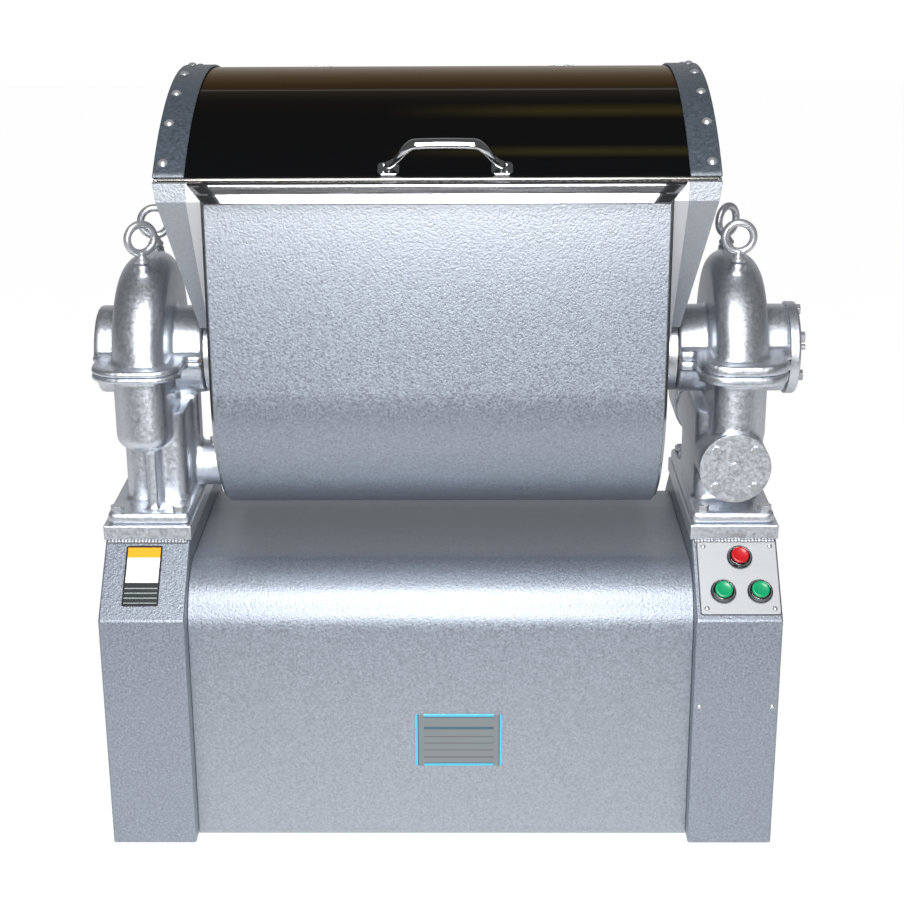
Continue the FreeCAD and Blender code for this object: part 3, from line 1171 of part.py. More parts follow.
def lid_hinge_leaves():
    leaves = []
    half = HINGE_LEAF_LENGTH / 4
    for x in hinge_places():
        roll, hole = knuckle(x - half + SIDE_GAP, x + half - SIDE_GAP)
        plate = arc_sheet(LID_RADIUS + HINGE_LEAF_THICKNESS, HINGE_LEAF_THICKNESS,
                          LID_REAR_Y - LID_LEAF_LAP, LID_REAR_Y + LID_LEAF_OVERHANG,
                          x - half + SIDE_GAP, x + half - SIDE_GAP)
        leaves.append(fuse(plate, roll).cut(hole))
    return group(leaves)


def bowl_hinge_leaves():
    leaves = []
    half = HINGE_LEAF_LENGTH / 2
    for x in hinge_places():
        back = HINGE_Y - HINGE_KNUCKLE_RADIUS + BOWL_LEAF_INSET
        plate = box(x - half, x + half, TROUGH_RADIUS, back, MOUTH_REAR - BOWL_LEAF_BOTTOM, MOUTH_REAR - BOWL_LEAF_TOP)
        pieces = [plate]
        holes = []
        for x0, x1 in ((x - half, x - half / 2), (x + half / 2, x + half)):
            roll, hole = knuckle(x0, x1)
            pieces += [roll, box(x0, x1, TROUGH_RADIUS, back, MOUTH_REAR - BOWL_EAR_BOTTOM, HINGE_Z)]
            holes.append(hole)
        leaves.append(fuse(*pieces).cut(holes))
    return group(leaves)


def hinge_pins():
    half = HINGE_LEAF_LENGTH / 2
    return group([cylinder_x(HINGE_PIN_RADIUS, x - half, x + half, HINGE_Y, HINGE_Z) for x in hinge_places()])


def handle_frame():
    """Give the point on the lid under the handle's middle and the directions out of the lid and along X."""
    out = V(0, (HANDLE_Y - LID_CENTRE_Y) / LID_RADIUS,
            math.sqrt(1 - ((HANDLE_Y - LID_CENTRE_Y) / LID_RADIUS) ** 2))
    base = V(HANDLE_X, LID_CENTRE_Y, LID_CENTRE_Z) + out * LID_RADIUS
    return base, out


def lid_handle():
    """Bend a rod to a bow on two foot plates."""
    base, out = handle_frame()
    half = HANDLE_SPAN / 2
    foot_top = base + out * HANDLE_FOOT_THICKNESS
    left = foot_top - X_AXIS * half
    right = foot_top + X_AXIS * half
    knee = HANDLE_RISE * 0.45
    path = Part.Wire([
        Part.Arc(left, left + out * (HANDLE_RISE * 0.75) + X_AXIS * (knee * 0.55),
                 left + out * HANDLE_RISE + X_AXIS * (knee * 2)).toShape(),
        Part.LineSegment(left + out * HANDLE_RISE + X_AXIS * (knee * 2),
                         right + out * HANDLE_RISE - X_AXIS * (knee * 2)).toShape(),
        Part.Arc(right + out * HANDLE_RISE - X_AXIS * (knee * 2),
                 right + out * (HANDLE_RISE * 0.75) - X_AXIS * (knee * 0.55), right).toShape()])
    start = path.Edges[0]
    ring = Part.Wire(Part.Circle(left, start.tangentAt(start.FirstParameter), HANDLE_ROD_RADIUS).toShape())
    rod = path.makePipeShell([ring], True, True)
    feet = []
    along = out.cross(X_AXIS)
    for end in (left, right):
        foot = Part.makeBox(HANDLE_FOOT_LENGTH, HANDLE_FOOT_WIDTH, HANDLE_FOOT_THICKNESS,
                            V(-HANDLE_FOOT_LENGTH / 2, -HANDLE_FOOT_WIDTH / 2, 0))
        turn = FreeCAD.Rotation(X_AXIS, along, out, "ZXY")
        foot.Placement = FreeCAD.Placement(end - out * (HANDLE_FOOT_THICKNESS - SIDE_GAP), turn)
        feet.append(foot)
    return fuse(rod, *feet)


# Fittings


def button_places():
    return ((BUTTON_RED_X, BUTTON_RED_UP),
            (BUTTON_GREEN_X_IN, BUTTON_GREEN_UP),
            (BUTTON_GREEN_X_OUT, BUTTON_GREEN_UP))


def control_panel():
    plate = box(PANEL_IN, PANEL_OUT, PANEL_LOW, PANEL_HIGH, 0, PANEL_THICKNESS)
    for x, up in button_places():
        plate = plate.cut(Part.makeCylinder(BEZEL_BODY_RADIUS, 2 * PANEL_THICKNESS, V(x, up, -1)))
    return on_slope(plate)


def panel_screws():
    heads = []
    for x in (PANEL_IN + PANEL_SCREW_MARGIN, PANEL_OUT - PANEL_SCREW_MARGIN):
        for up in (PANEL_LOW + PANEL_SCREW_MARGIN, PANEL_HIGH - PANEL_SCREW_MARGIN):
            heads.append(on_slope(dome(PANEL_SCREW_RADIUS, SCREW_HEAD_HEIGHT, V(x, up, PANEL_THICKNESS), Z_AXIS)))
    return heads


def button_bezels():
    """Make the switch bodies with their round collars."""
    bezels = []
    top = PANEL_THICKNESS + BEZEL_HEIGHT
    for x, up in button_places():
        collar = Part.makeCylinder(BEZEL_RADIUS, BEZEL_HEIGHT, V(x, up, PANEL_THICKNESS))
        body = Part.makeCylinder(BEZEL_BODY_RADIUS, BEZEL_BODY_DEPTH, V(x, up, PANEL_THICKNESS - BEZEL_BODY_DEPTH))
        well = Part.makeCylinder(BUTTON_RADIUS + BUTTON_GAP, BEZEL_HEIGHT, V(x, up, PANEL_THICKNESS + 1))
        stem = Part.makeCylinder(BUTTON_STEM_RADIUS + BUTTON_GAP, BEZEL_BODY_DEPTH,
                                 V(x, up, top - BUTTON_TRAVEL - BEZEL_BODY_DEPTH + 1))
        bezels.append(on_slope(fuse(collar, body).cut([well, stem])))
    return group(bezels)


def button(place):
    x, up = place
    base = PANEL_THICKNESS + 1 + BUTTON_TRAVEL + BUTTON_GAP
    top = PANEL_THICKNESS + BEZEL_HEIGHT + BUTTON_STAND
    cap = Part.makeCylinder(BUTTON_RADIUS, top - base, V(x, up, base))
    stem = Part.makeCylinder(BUTTON_STEM_RADIUS, BUTTON_STEM_LENGTH, V(x, up, base - BUTTON_STEM_LENGTH))
    return on_slope(fuse(cap, stem))


def name_plate():
    return box(NAME_PLATE_X - NAME_PLATE_WIDTH / 2, NAME_PLATE_X + NAME_PLATE_WIDTH / 2,
               -COVER_HALF_DEPTH - PLATE_THICKNESS, -COVER_HALF_DEPTH,
               NAME_PLATE_Z - NAME_PLATE_HEIGHT / 2, NAME_PLATE_Z + NAME_PLATE_HEIGHT / 2)


def label_plate():
    plate = box(LABEL_X - LABEL_WIDTH / 2, LABEL_X + LABEL_WIDTH / 2, LABEL_LOW, LABEL_HIGH, 0, PLATE_THICKNESS)
    return on_slope(plate, LEFT)


def front_screws():
    heads = []
    for x in (BAY_HALF_WIDTH + FRONT_SCREW_MARGIN, HALF_WIDTH - FRONT_SCREW_MARGIN):
        base = V(x, -PEDESTAL_HALF_DEPTH, FRONT_SCREW_HEIGHT)
        heads.append(dome(PANEL_SCREW_RADIUS, SCREW_HEAD_HEIGHT, base, Y_AXIS * -1))
    return heads


def small_screws():
    return group(panel_screws() + front_screws())


def pair(make):
    return group([make(LEFT), make(RIGHT)])


def all_parts():
    parts = {
        "base_plate": base_plate(),
        "top_plates": pair(top_plate),
        "front_cover": front_cover(),
        "rear_cover": rear_cover(),
        "cable_gland": cable_gland(),
        "trunnion_bushes": trunnion_bushes(),
        "shaft_bushes": shaft_bushes(),
        "shaft_end_plug": shaft_end_plug(),
        "bearing_cap": bearing_cap(),
        "worm_cap": worm_cap(),
        "casing_bolts": casing_bolts(),
        "base_bolts": base_bolts(),
        "eye_bolts": eye_bolts(),
        "grease_fitting": grease_fitting(),
        "oil_plug": oil_plug(),
        "main_motor": main_motor(),
        "drive_belt": drive_belt(),
        "tilt_motor": tilt_motor(),
        "control_panel": control_panel(),
        "small_screws": small_screws(),
        "button_bezels": button_bezels(),
        "stop_button": button(button_places()[0]),
        "start_button": button(button_places()[1]),
        "tilt_button": button(button_places()[2]),
        "name_plate": name_plate(),
        "label_plate": label_plate(),
        "mixing_shaft": mixing_shaft(),
        "agitator": agitator(),
        "drive_gear": drive_gear(),
        "pinion_shaft": pinion_shaft(),
        "pinion_gear": pinion_gear(),
        "driven_pulley": driven_pulley(),
        "motor_shaft": motor_shaft(),
        "motor_pulley": motor_pulley(),
        "worm_shaft": worm_shaft(),
        "worm_wheel": worm_wheel(),
        "trough": trough(),
        "jacket": jacket(),
        "rim_lip": rim_lip(),
        "end_walls": pair(end_wall),
        "end_arms": pair(end_arm),
        "shaft_seals": pair(shaft_seal),
        "bowl_hinge_leaves": bowl_hinge_leaves(),
        "hinge_pins": hinge_pins(),
        "lid_shell": lid_shell(),
        "lid_ends": pair(lid_end),
        "lid_strips": pair(lid_strip),
        "lid_screws": lid_screws(),
        "lid_handle": lid_handle(),
        "lid_hinge_leaves": lid_hinge_leaves(),
    }
    paired = {"pedestal": pedestal, "casing_lower": casing_lower, "casing_upper": casing_upper,
              "end_cheek": end_cheek, "trunnion": trunnion}
    for name, make in paired.items():
        parts[name + "_left"] = make(LEFT)
        parts[name + "_right"] = make(RIGHT)
    return parts


def write_parts(parts):
    os.makedirs("parts", exist_ok=True)
    for name, shape in parts.items():
        shape.exportStep("parts/" + name + ".step")


write_parts(all_parts())
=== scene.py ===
"""Dress the tilting-bowl dough mixer: finer pieces over its main forms and a procedural finish on every part.

The classes hold their sizes in millimetres, and the meshes are in metres. X runs across the machine,
Y from the front to the back and Z up, from the floor under the mixing shaft.
"""

import json
import logging
import math
from dataclasses import dataclass
from enum import Enum

import bmesh
import bpy
import numpy as np
from mathutils import Matrix, Vector

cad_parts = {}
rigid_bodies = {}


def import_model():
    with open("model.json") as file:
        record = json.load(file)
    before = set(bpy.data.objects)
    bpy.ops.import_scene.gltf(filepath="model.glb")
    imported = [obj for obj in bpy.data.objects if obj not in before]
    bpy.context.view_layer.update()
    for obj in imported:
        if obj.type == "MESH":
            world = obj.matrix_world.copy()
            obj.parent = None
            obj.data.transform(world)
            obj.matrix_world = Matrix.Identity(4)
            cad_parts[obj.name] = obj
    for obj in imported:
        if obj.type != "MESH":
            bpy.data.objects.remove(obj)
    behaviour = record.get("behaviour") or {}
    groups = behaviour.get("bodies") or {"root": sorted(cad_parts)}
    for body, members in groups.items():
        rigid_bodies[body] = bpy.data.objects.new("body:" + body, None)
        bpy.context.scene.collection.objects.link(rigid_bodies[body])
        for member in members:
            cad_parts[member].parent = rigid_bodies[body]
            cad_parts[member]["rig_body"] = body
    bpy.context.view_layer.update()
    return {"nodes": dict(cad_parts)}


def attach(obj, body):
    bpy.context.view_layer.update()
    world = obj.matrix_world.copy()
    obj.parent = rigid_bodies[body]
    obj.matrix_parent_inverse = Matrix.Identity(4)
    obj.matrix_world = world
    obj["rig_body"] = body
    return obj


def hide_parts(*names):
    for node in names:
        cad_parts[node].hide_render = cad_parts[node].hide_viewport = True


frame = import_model()

LOG = logging.getLogger("mixer")
MM = 0.001
MERGE = 0.00001
FLAT = math.radians(0.5)
SIDES = (-1, 1)
X_AXIS = np.array([1.0, 0.0, 0.0])
Y_AXIS = np.array([0.0, 1.0, 0.0])
Z_AXIS = np.array([0.0, 0.0, 1.0])
ORIGIN = np.zeros(3)
WHITE = (255.0, 255.0, 255.0)
BLACK = (0.0, 0.0, 0.0)
CASTINGS = ("casing_lower_left", "casing_lower_right", "casing_upper_left", "casing_upper_right")

Pair = tuple[float, float]
Triple = tuple[float, float, float]
Tree = bpy.types.NodeTree
Node = bpy.types.Node
Socket = bpy.types.NodeSocket
Material = bpy.types.Material


# Surfaces on grids


@dataclass(frozen=True)
class Surface:
    """Points in millimetres with the faces that join them."""

    points: np.ndarray
    faces: list[tuple[int, ...]]


def joined(surfaces: list[Surface]) -> Surface:
    """Put several surfaces into one.

    Args:
        surfaces: The surfaces, each with its own numbering.

    Returns:
        One surface, in which each part's face indices are moved up by the number of points before it.
    """
    faces: list[tuple[int, ...]] = []
    start = 0
    for surface in surfaces:
        faces += [tuple(int(i) + start for i in face) for face in surface.faces]
        start += len(surface.points)
    return Surface(np.vstack([s.points for s in surfaces]), faces)


def mirrored(surface: Surface) -> Surface:
    """Give the surface with X turned round and each face's corners in the other order."""
    return Surface(surface.points * [-1, 1, 1], [face[::-1] for face in surface.faces])


def both_sides(surface: Surface) -> Surface:
    """Give a surface of the right side together with its mirror image."""
    return joined([surface, mirrored(surface)])


def grid_faces(rows: int, columns: int, closed: bool = False) -> list[tuple[int, ...]]:
    """Number the quads of a grid of points whose rows are closed loops.

    Args:
        rows: Number of rows of points.
        columns: Number of points in a row.
        closed: Whether the last row joins the first.

    Returns:
        Four indices for each quad: here, next column, next column in the next row, next row.
    """
    i = np.arange(rows if closed else rows - 1)[:, None]
    j = np.arange(columns)[None, :]
    below = (i + 1) % rows
    beside = (j + 1) % columns
    quads = np.stack(np.broadcast_arrays(i * columns + j, i * columns + beside,
                                         below * columns + beside, below * columns + j), axis=-1)
    return [tuple(quad) for quad in quads.reshape(-1, 4)]


def tube(rings: np.ndarray) -> Surface:
    """Join closed rings, given as (ring, point on it, xyz), into a tube with one face over each end."""
    count, size = rings.shape[:2]
    ends = [tuple(range(size))[::-1], tuple(range((count - 1) * size, count * size))]
    return Surface(rings.reshape(-1, 3), grid_faces(count, size) + ends)


def unit(vectors: np.ndarray) -> np.ndarray:
    """Give each row at the length 1."""
    return vectors / np.linalg.norm(vectors, axis=1)[:, None]


def left_of(along: np.ndarray) -> np.ndarray:
    """Turn each row, a direction in a plane, to the left."""
    return np.stack([-along[:, 1], along[:, 0]], axis=1)


def counter_clockwise(loop: np.ndarray) -> np.ndarray:
    """Give a loop counter-clockwise: turned round where twice its area, the sum of x y' - y x', is negative."""
    x, y = loop.T
    return loop if np.sum(x * np.roll(y, -1) - y * np.roll(x, -1)) > 0 else loop[::-1]


def rectangle(x: Pair, y: Pair) -> list[Pair]:
    """Give the four corners of a rectangle, counter-clockwise from the lowest."""
    return [(x[0], y[0]), (x[1], y[0]), (x[1], y[1]), (x[0], y[1])]


def rounded_loop(corners: list[Pair], radii: float | list[float], steps: int = 5) -> np.ndarray:
    """Round the corners of a polygon.

    Each corner is replaced by an arc that touches both its sides: the arc's centre lies on the corner's
    bisector at radius / sin(half angle), and its points turn evenly from one side's normal to the other's.

    Args:
        corners: The polygon's corners in order.
        radii: One radius, or one for each corner; 0 keeps a corner.
        steps: Number of segments in each arc.

    Returns:
        The points of the closed loop, counter-clockwise.
    """
    polygon = np.array(corners, float)
    radius = np.broadcast_to(np.asarray(radii, float), len(polygon))
    before = unit(np.roll(polygon, 1, axis=0) - polygon)
    after = unit(np.roll(polygon, -1, axis=0) - polygon)
    points: list[np.ndarray] = []
    for corner, back, ahead, size in zip(polygon, before, after, radius):
        half = math.acos(float(np.clip(back @ ahead, -1, 1))) / 2
        if size <= 0 or half > math.pi / 2 - 1e-3:
            points.append(corner[None])
            continue
        reach = size / math.tan(half)
        centre = corner + (back + ahead) / np.linalg.norm(back + ahead) * size / math.sin(half)
        first = corner + back * reach - centre
        last = corner + ahead * reach - centre
        turn = math.atan2(first[0] * last[1] - first[1] * last[0], first @ last)
        angle = np.linspace(0, turn, steps + 1)
        cos, sin = np.cos(angle), np.sin(angle)
        points.append(centre + np.stack([first[0] * cos - first[1] * sin, first[0] * sin + first[1] * cos], axis=1))
    return counter_clockwise(np.vstack(points))


def inset_loop(loop: np.ndarray, distance: float) -> np.ndarray:
    """Move a counter-clockwise loop inwards.

    Each point moves along the mean of its two sides' inward normals, by distance over the cosine of half
    the turn there, so that the sides stay parallel.
    """
    inward = left_of(unit(np.roll(loop, -1, axis=0) - loop))
    mean = inward + np.roll(inward, 1, axis=0)
    return loop + mean * (2 * distance / np.sum(mean * mean, axis=1))[:, None]


def rounded_prism(loop: np.ndarray, low: float, high: float, edge: float, origin: np.ndarray = ORIGIN,
                  axes: tuple[np.ndarray, ...] = (X_AXIS, Y_AXIS, Z_AXIS), steps: int = 3) -> Surface:
    """Carry a loop along a straight line, with rounded edges at both ends.

    At the angle a of an edge, from 0 at the end face to 90 degrees at the side, the loop is moved inwards by
    edge (1 - sin a) and stands edge (1 - cos a) from the end.

    Args:
        loop: The outline's points in (second axis, third axis).
        low: Where it starts along the first axis.
        high: Where it ends.
        edge: Radius of the rounded edges.
        origin: Point from which the three lengths are measured.
        axes: The line's direction and the outline's two directions.
        steps: Segments in each rounded edge.

    Returns:
        A closed surface.
    """
    angle = np.linspace(0, math.pi / 2, steps + 1)
    inset = np.r_[edge * (1 - np.sin(angle)), edge * (1 - np.sin(angle[::-1]))]
    place = np.r_[low + edge * (1 - np.cos(angle)), high - edge * (1 - np.cos(angle[::-1]))]
    return tube(np.stack([origin + axes[0] * p + inset_loop(loop, d) @ np.stack(axes[1:])
                          for p, d in zip(place, inset)]))


def bent_sheet(path: np.ndarray, thickness: float) -> np.ndarray:
    """Give the section of a bent sheet.

    Args:
        path: Points of one face, in order.
        thickness: Sheet thickness, laid off to the left of the path's direction.

    Returns:
        The closed loop, counter-clockwise: the path, and back along the same points moved by the thickness.
    """
    other = path + left_of(unit(np.gradient(path, axis=0))) * thickness
    return counter_clockwise(np.vstack([path, other[::-1]]))


def arc(centre: Pair, radius: float, start: float, end: float, count: int) -> np.ndarray:
    """Give count points of an arc in a plane, from one angle to another in degrees."""
    angle = np.radians(np.linspace(start, end, count))
    return np.array(centre) + radius * np.stack([np.cos(angle), np.sin(angle)], axis=1)


def across(axis: np.ndarray) -> tuple[np.ndarray, np.ndarray]:
    """Give two directions at right angles to an axis and to each other."""
    helper = X_AXIS if abs(axis[0]) < 0.9 else Y_AXIS
    first = np.cross(axis, helper)
    first /= np.linalg.norm(first)
    return first, np.cross(axis, first)


def circle(radius: float, count: int) -> np.ndarray:
    """Give the points of a circle about (0, 0)."""
    angle = np.linspace(0, 2 * math.pi, count, endpoint=False)
    return radius * np.stack([np.cos(angle), np.sin(angle)], axis=1)


def around(axis: np.ndarray, count: int) -> np.ndarray:
    """Give directions evenly spread round an axis."""
    return circle(1.0, count) @ np.stack(across(axis))


def turned(profile: list[Pair], centre: np.ndarray, axis: np.ndarray, segments: int = 48) -> Surface:
    """Turn a profile about an axis.

    A profile point (r, h) at the angle a gives centre + h axis + r (cos a, sin a) in the plane across it.

    Args:
        profile: Radius and height of each point, from one end to the other.
        centre: Point on the axis at height 0.
        axis: Direction of the axis.
        segments: Number of points round it.

    Returns:
        The turned surface, whose poles still hold doubles.
    """
    radius, height = np.array(profile, float).T
    return tube(centre + height[:, None, None] * axis + radius[:, None, None] * around(axis, segments))


def swept(path: np.ndarray, section: np.ndarray, side: np.ndarray) -> Surface:
    """Carry a closed section along a path.

    At each path point the section's first axis is the given side direction made square to the path, and its
    second is the cross product of the path's direction and that.

    Args:
        path: Points of the path, (n, 3).
        section: One section for each path point, (n, m, 2).
        side: Direction that the section's first axis keeps to.

    Returns:
        The closed surface.
    """
    along = unit(np.gradient(path, axis=0))
    first = unit(side - (along @ side)[:, None] * along)
    second = np.cross(along, first)
    return tube(path[:, None] + section[..., :1] * first[:, None] + section[..., 1:] * second[:, None])


def ring(centre: np.ndarray, axis: np.ndarray, radius: float, rod: float, segments: int = 48) -> Surface:
    """Give a torus: a circle of the rod's radius carried round a circle of the ring's radius."""
    section = circle(rod, 20)[None, :, :, None]
    rings = centre + (radius + section[:, :, 0]) * around(axis, segments)[:, None] + section[:, :, 1] * axis
    return Surface(rings.reshape(-1, 3), grid_faces(*rings.shape[:2], closed=True))


def weld_bead(start: np.ndarray, end: np.ndarray, radius: float, pitch: float, seed: int) -> Surface:
    """Lay a weld bead between two points.

    The bead is a round rod whose radius swells and sinks with each drop, radius (1 + swell |sin(pi s / pitch)|)
    at the distance s, and whose middle wanders a little by seeded random steps, averaged over nine.
    """
    swell, wander = 0.22, 0.12
    length = float(np.linalg.norm(end - start))
    count = int(length / pitch * 5)
    way = np.linspace(0, length, count)
    rng = np.random.default_rng(seed)
    steps = np.convolve(rng.normal(0, 1, (count, 3)).ravel(), np.ones(9) / 9, mode="same").reshape(count, 3)
    path = start + (end - start) * (way / length)[:, None] + steps * radius * wander
    size = radius * (1 + swell * np.abs(np.sin(math.pi * way / pitch)))
    return swept(path, circle(1.0, 10)[None] * size[:, None, None], Z_AXIS)


# Pieces in the scene


def add_object(name: str, data: bpy.types.ID) -> bpy.types.Object:
    """Put a mesh, a camera or a lamp into the scene."""
    item = bpy.data.objects.new(name, data)
    bpy.context.scene.collection.objects.link(item)
    return item


def cleaned(mesh: bpy.types.Mesh, from_cad: bool = False) -> bpy.types.Mesh:
    """Merge a mesh's doubles, then join the flat triangles of a CAD mesh, or turn a new mesh's faces outwards."""
    work = bmesh.new()
    work.from_mesh(mesh)
    bmesh.ops.remove_doubles(work, verts=work.verts, dist=MERGE)
    if from_cad:
        bmesh.ops.dissolve_limit(work, angle_limit=FLAT, verts=work.verts, edges=work.edges)
    else:
        bmesh.ops.recalc_face_normals(work, faces=work.faces)
    work.to_mesh(mesh)
    work.free()
    return mesh


def dress(mesh: bpy.types.Mesh, material: Material) -> None:
    """Give a mesh one material and shade it smooth."""
    mesh.materials.clear()
    mesh.materials.append(material)
    mesh.shade_smooth()


def place(name: str, mesh: bpy.types.Mesh, node: str, slot: str, material: Material,
          instead: bool = True) -> bpy.types.Object:
    """Make a mesh an object that rides on its node's body."""
    piece = add_object(name, mesh)
    dress(mesh, material)
    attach(piece, frame["nodes"][node]["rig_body"])
    if instead:
        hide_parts(node)
    LOG.info("%s: %d faces", name, len(mesh.polygons))
    return piece


def add_piece(name: str, surface: Surface, node: str, slot: str, finishes: "Finishes",
              material: Material | None = None, instead: bool = True) -> bpy.types.Object:
    """Put a surface into the scene as a piece, with flat faces kept flat by weighted normals.

    Args:
        name: The piece's name.
        surface: Its points and faces, in millimetres.
        node: The CAD node it stands for or belongs to.
        slot: The record's material slot it goes with.
        finishes: The machine's finishes.
        material: Its finish, where that isn't the slot's own.
        instead: Whether it replaces the node, or is added to it.

    Returns:
        The new object, riding on the node's body.
    """
    mesh = bpy.data.meshes.new(name)
    mesh.from_pydata((surface.points * MM).tolist(), [], surface.faces)
    piece = place(name, cleaned(mesh), node, slot, material or finishes.by_slot[slot], instead)
    weighted = piece.modifiers.new("even_shading", "WEIGHTED_NORMAL")
    weighted.keep_sharp = True
    weighted.weight = 70
    return piece


@dataclass
class Casting:
    """A cast piece with soft edges and filleted inner corners.

    The merged copy of the CAD node is remeshed in cubes and then smoothed, so that every corner becomes a fillet.
    """

    node: str
    material: Material
    voxel: float = 2.4
    passes: int = 9

    def build(self) -> None:
        """Make the casting and put it in its node's place."""
        mesh = cleaned(frame["nodes"][self.node].data.copy(), from_cad=True)
        piece = place(self.node + "_cast", mesh, self.node, "casting_paint", self.material)
        remesh = piece.modifiers.new("cast_form", "REMESH")
        remesh.mode = "VOXEL"
        remesh.voxel_size = self.voxel * MM
        remesh.use_smooth_shade = True
        smooth = piece.modifiers.new("fillets", "SMOOTH")
        smooth.factor = 0.5
        smooth.iterations = self.passes
        graph = bpy.context.evaluated_depsgraph_get()
        piece.data = bpy.data.meshes.new_from_object(piece.evaluated_get(graph))
        piece.modifiers.clear()
        dress(piece.data, self.material)
        LOG.info("%s: %d faces after smoothing", piece.name, len(piece.data.polygons))


# Finishes


def linear(colour: Triple) -> tuple[float, float, float, float]:
    """Give a display colour of 0 to 255 a channel as a linear colour with alpha."""
    share = np.array(colour) / 255
    value = np.where(share <= 0.04045, share / 12.92, ((share + 0.055) / 1.055) ** 2.4)
    return (float(value[0]), float(value[1]), float(value[2]), 1.0)


def feed(tree: Tree, node: Node, values: dict[str | int, object]) -> None:
    """Give a node's inputs what they get: a socket is linked, and anything else is set on the input itself."""
    for label, value in values.items():
        if isinstance(value, Socket):
            tree.links.new(value, node.inputs[label])
        else:
            node.inputs[label].default_value = value


def add_node(tree: Tree, kind: str, values: dict[str | int, object] | None = None,
             **settings: object) -> Node:
    """Add a shader node.

    Args:
        tree: The tree it goes into.
        kind: Its type, without the leading ShaderNode.
        values: The socket or the value that each input gets.
        settings: Its own properties, set first because they can change its inputs.

    Returns:
        The node.
    """
    node = tree.nodes.new("ShaderNode" + kind)
    for label, value in settings.items():
        setattr(node, label, value)
    feed(tree, node, values or {})
    return node


def maths(tree: Tree, operation: str, first: Socket,
          second: Socket | float) -> Socket:
    """Add a Math node and give its output."""
    return add_node(tree, "Math", {0: first, 1: second}, operation=operation).outputs[0]


def add_ramp(tree: Tree, value: Socket, steps: list[tuple[float, Triple]],
             smooth: bool = False) -> Socket:
    """Add a colour ramp over one value.

    Args:
        tree: The material's nodes.
        value: The socket to read, from 0 to 1.
        steps: Where each colour starts, and the colour.
        smooth: Whether one colour goes over into the next.

    Returns:
        The ramp's colour output.
    """
    node = add_node(tree, "ValToRGB", {0: value})
    ramp = node.color_ramp
    ramp.interpolation = "LINEAR" if smooth else "CONSTANT"
    while len(ramp.elements) < len(steps):
        ramp.elements.new(1.0)
    for element, (start, colour) in zip(ramp.elements, steps):
        element.position = start
        element.color = linear(colour)
    return node.outputs[0]


def lay_over(tree: Tree, mask: Socket, under: Socket,
             over: Triple) -> Socket:
    """Lay a colour over another where a mask is white, and give the colour that results."""
    mix = add_node(tree, "Mix", {"Factor": mask, "A": under, "B": linear(over)}, data_type="RGBA")
    return mix.outputs["Result"]


def add_fine_grain(tree: Tree, scale: float, depth: float) -> Socket:
    """Add a fine grain of a depth in millimetres, and give its normal."""
    where = add_node(tree, "TexCoord").outputs["Object"]
    grain = add_node(tree, "TexNoise", {"Vector": where, "Scale": scale})
    return add_node(tree, "Bump", {"Distance": depth * MM, "Height": grain.outputs["Fac"]}).outputs[0]


class Pattern(Enum):
    """The fine relief that a finish carries."""

    HAMMERED = "hammered_relief"
    CAST = "cast_relief"
    BRUSHED = "brushed_relief"
    MOULDED = "moulded_relief"


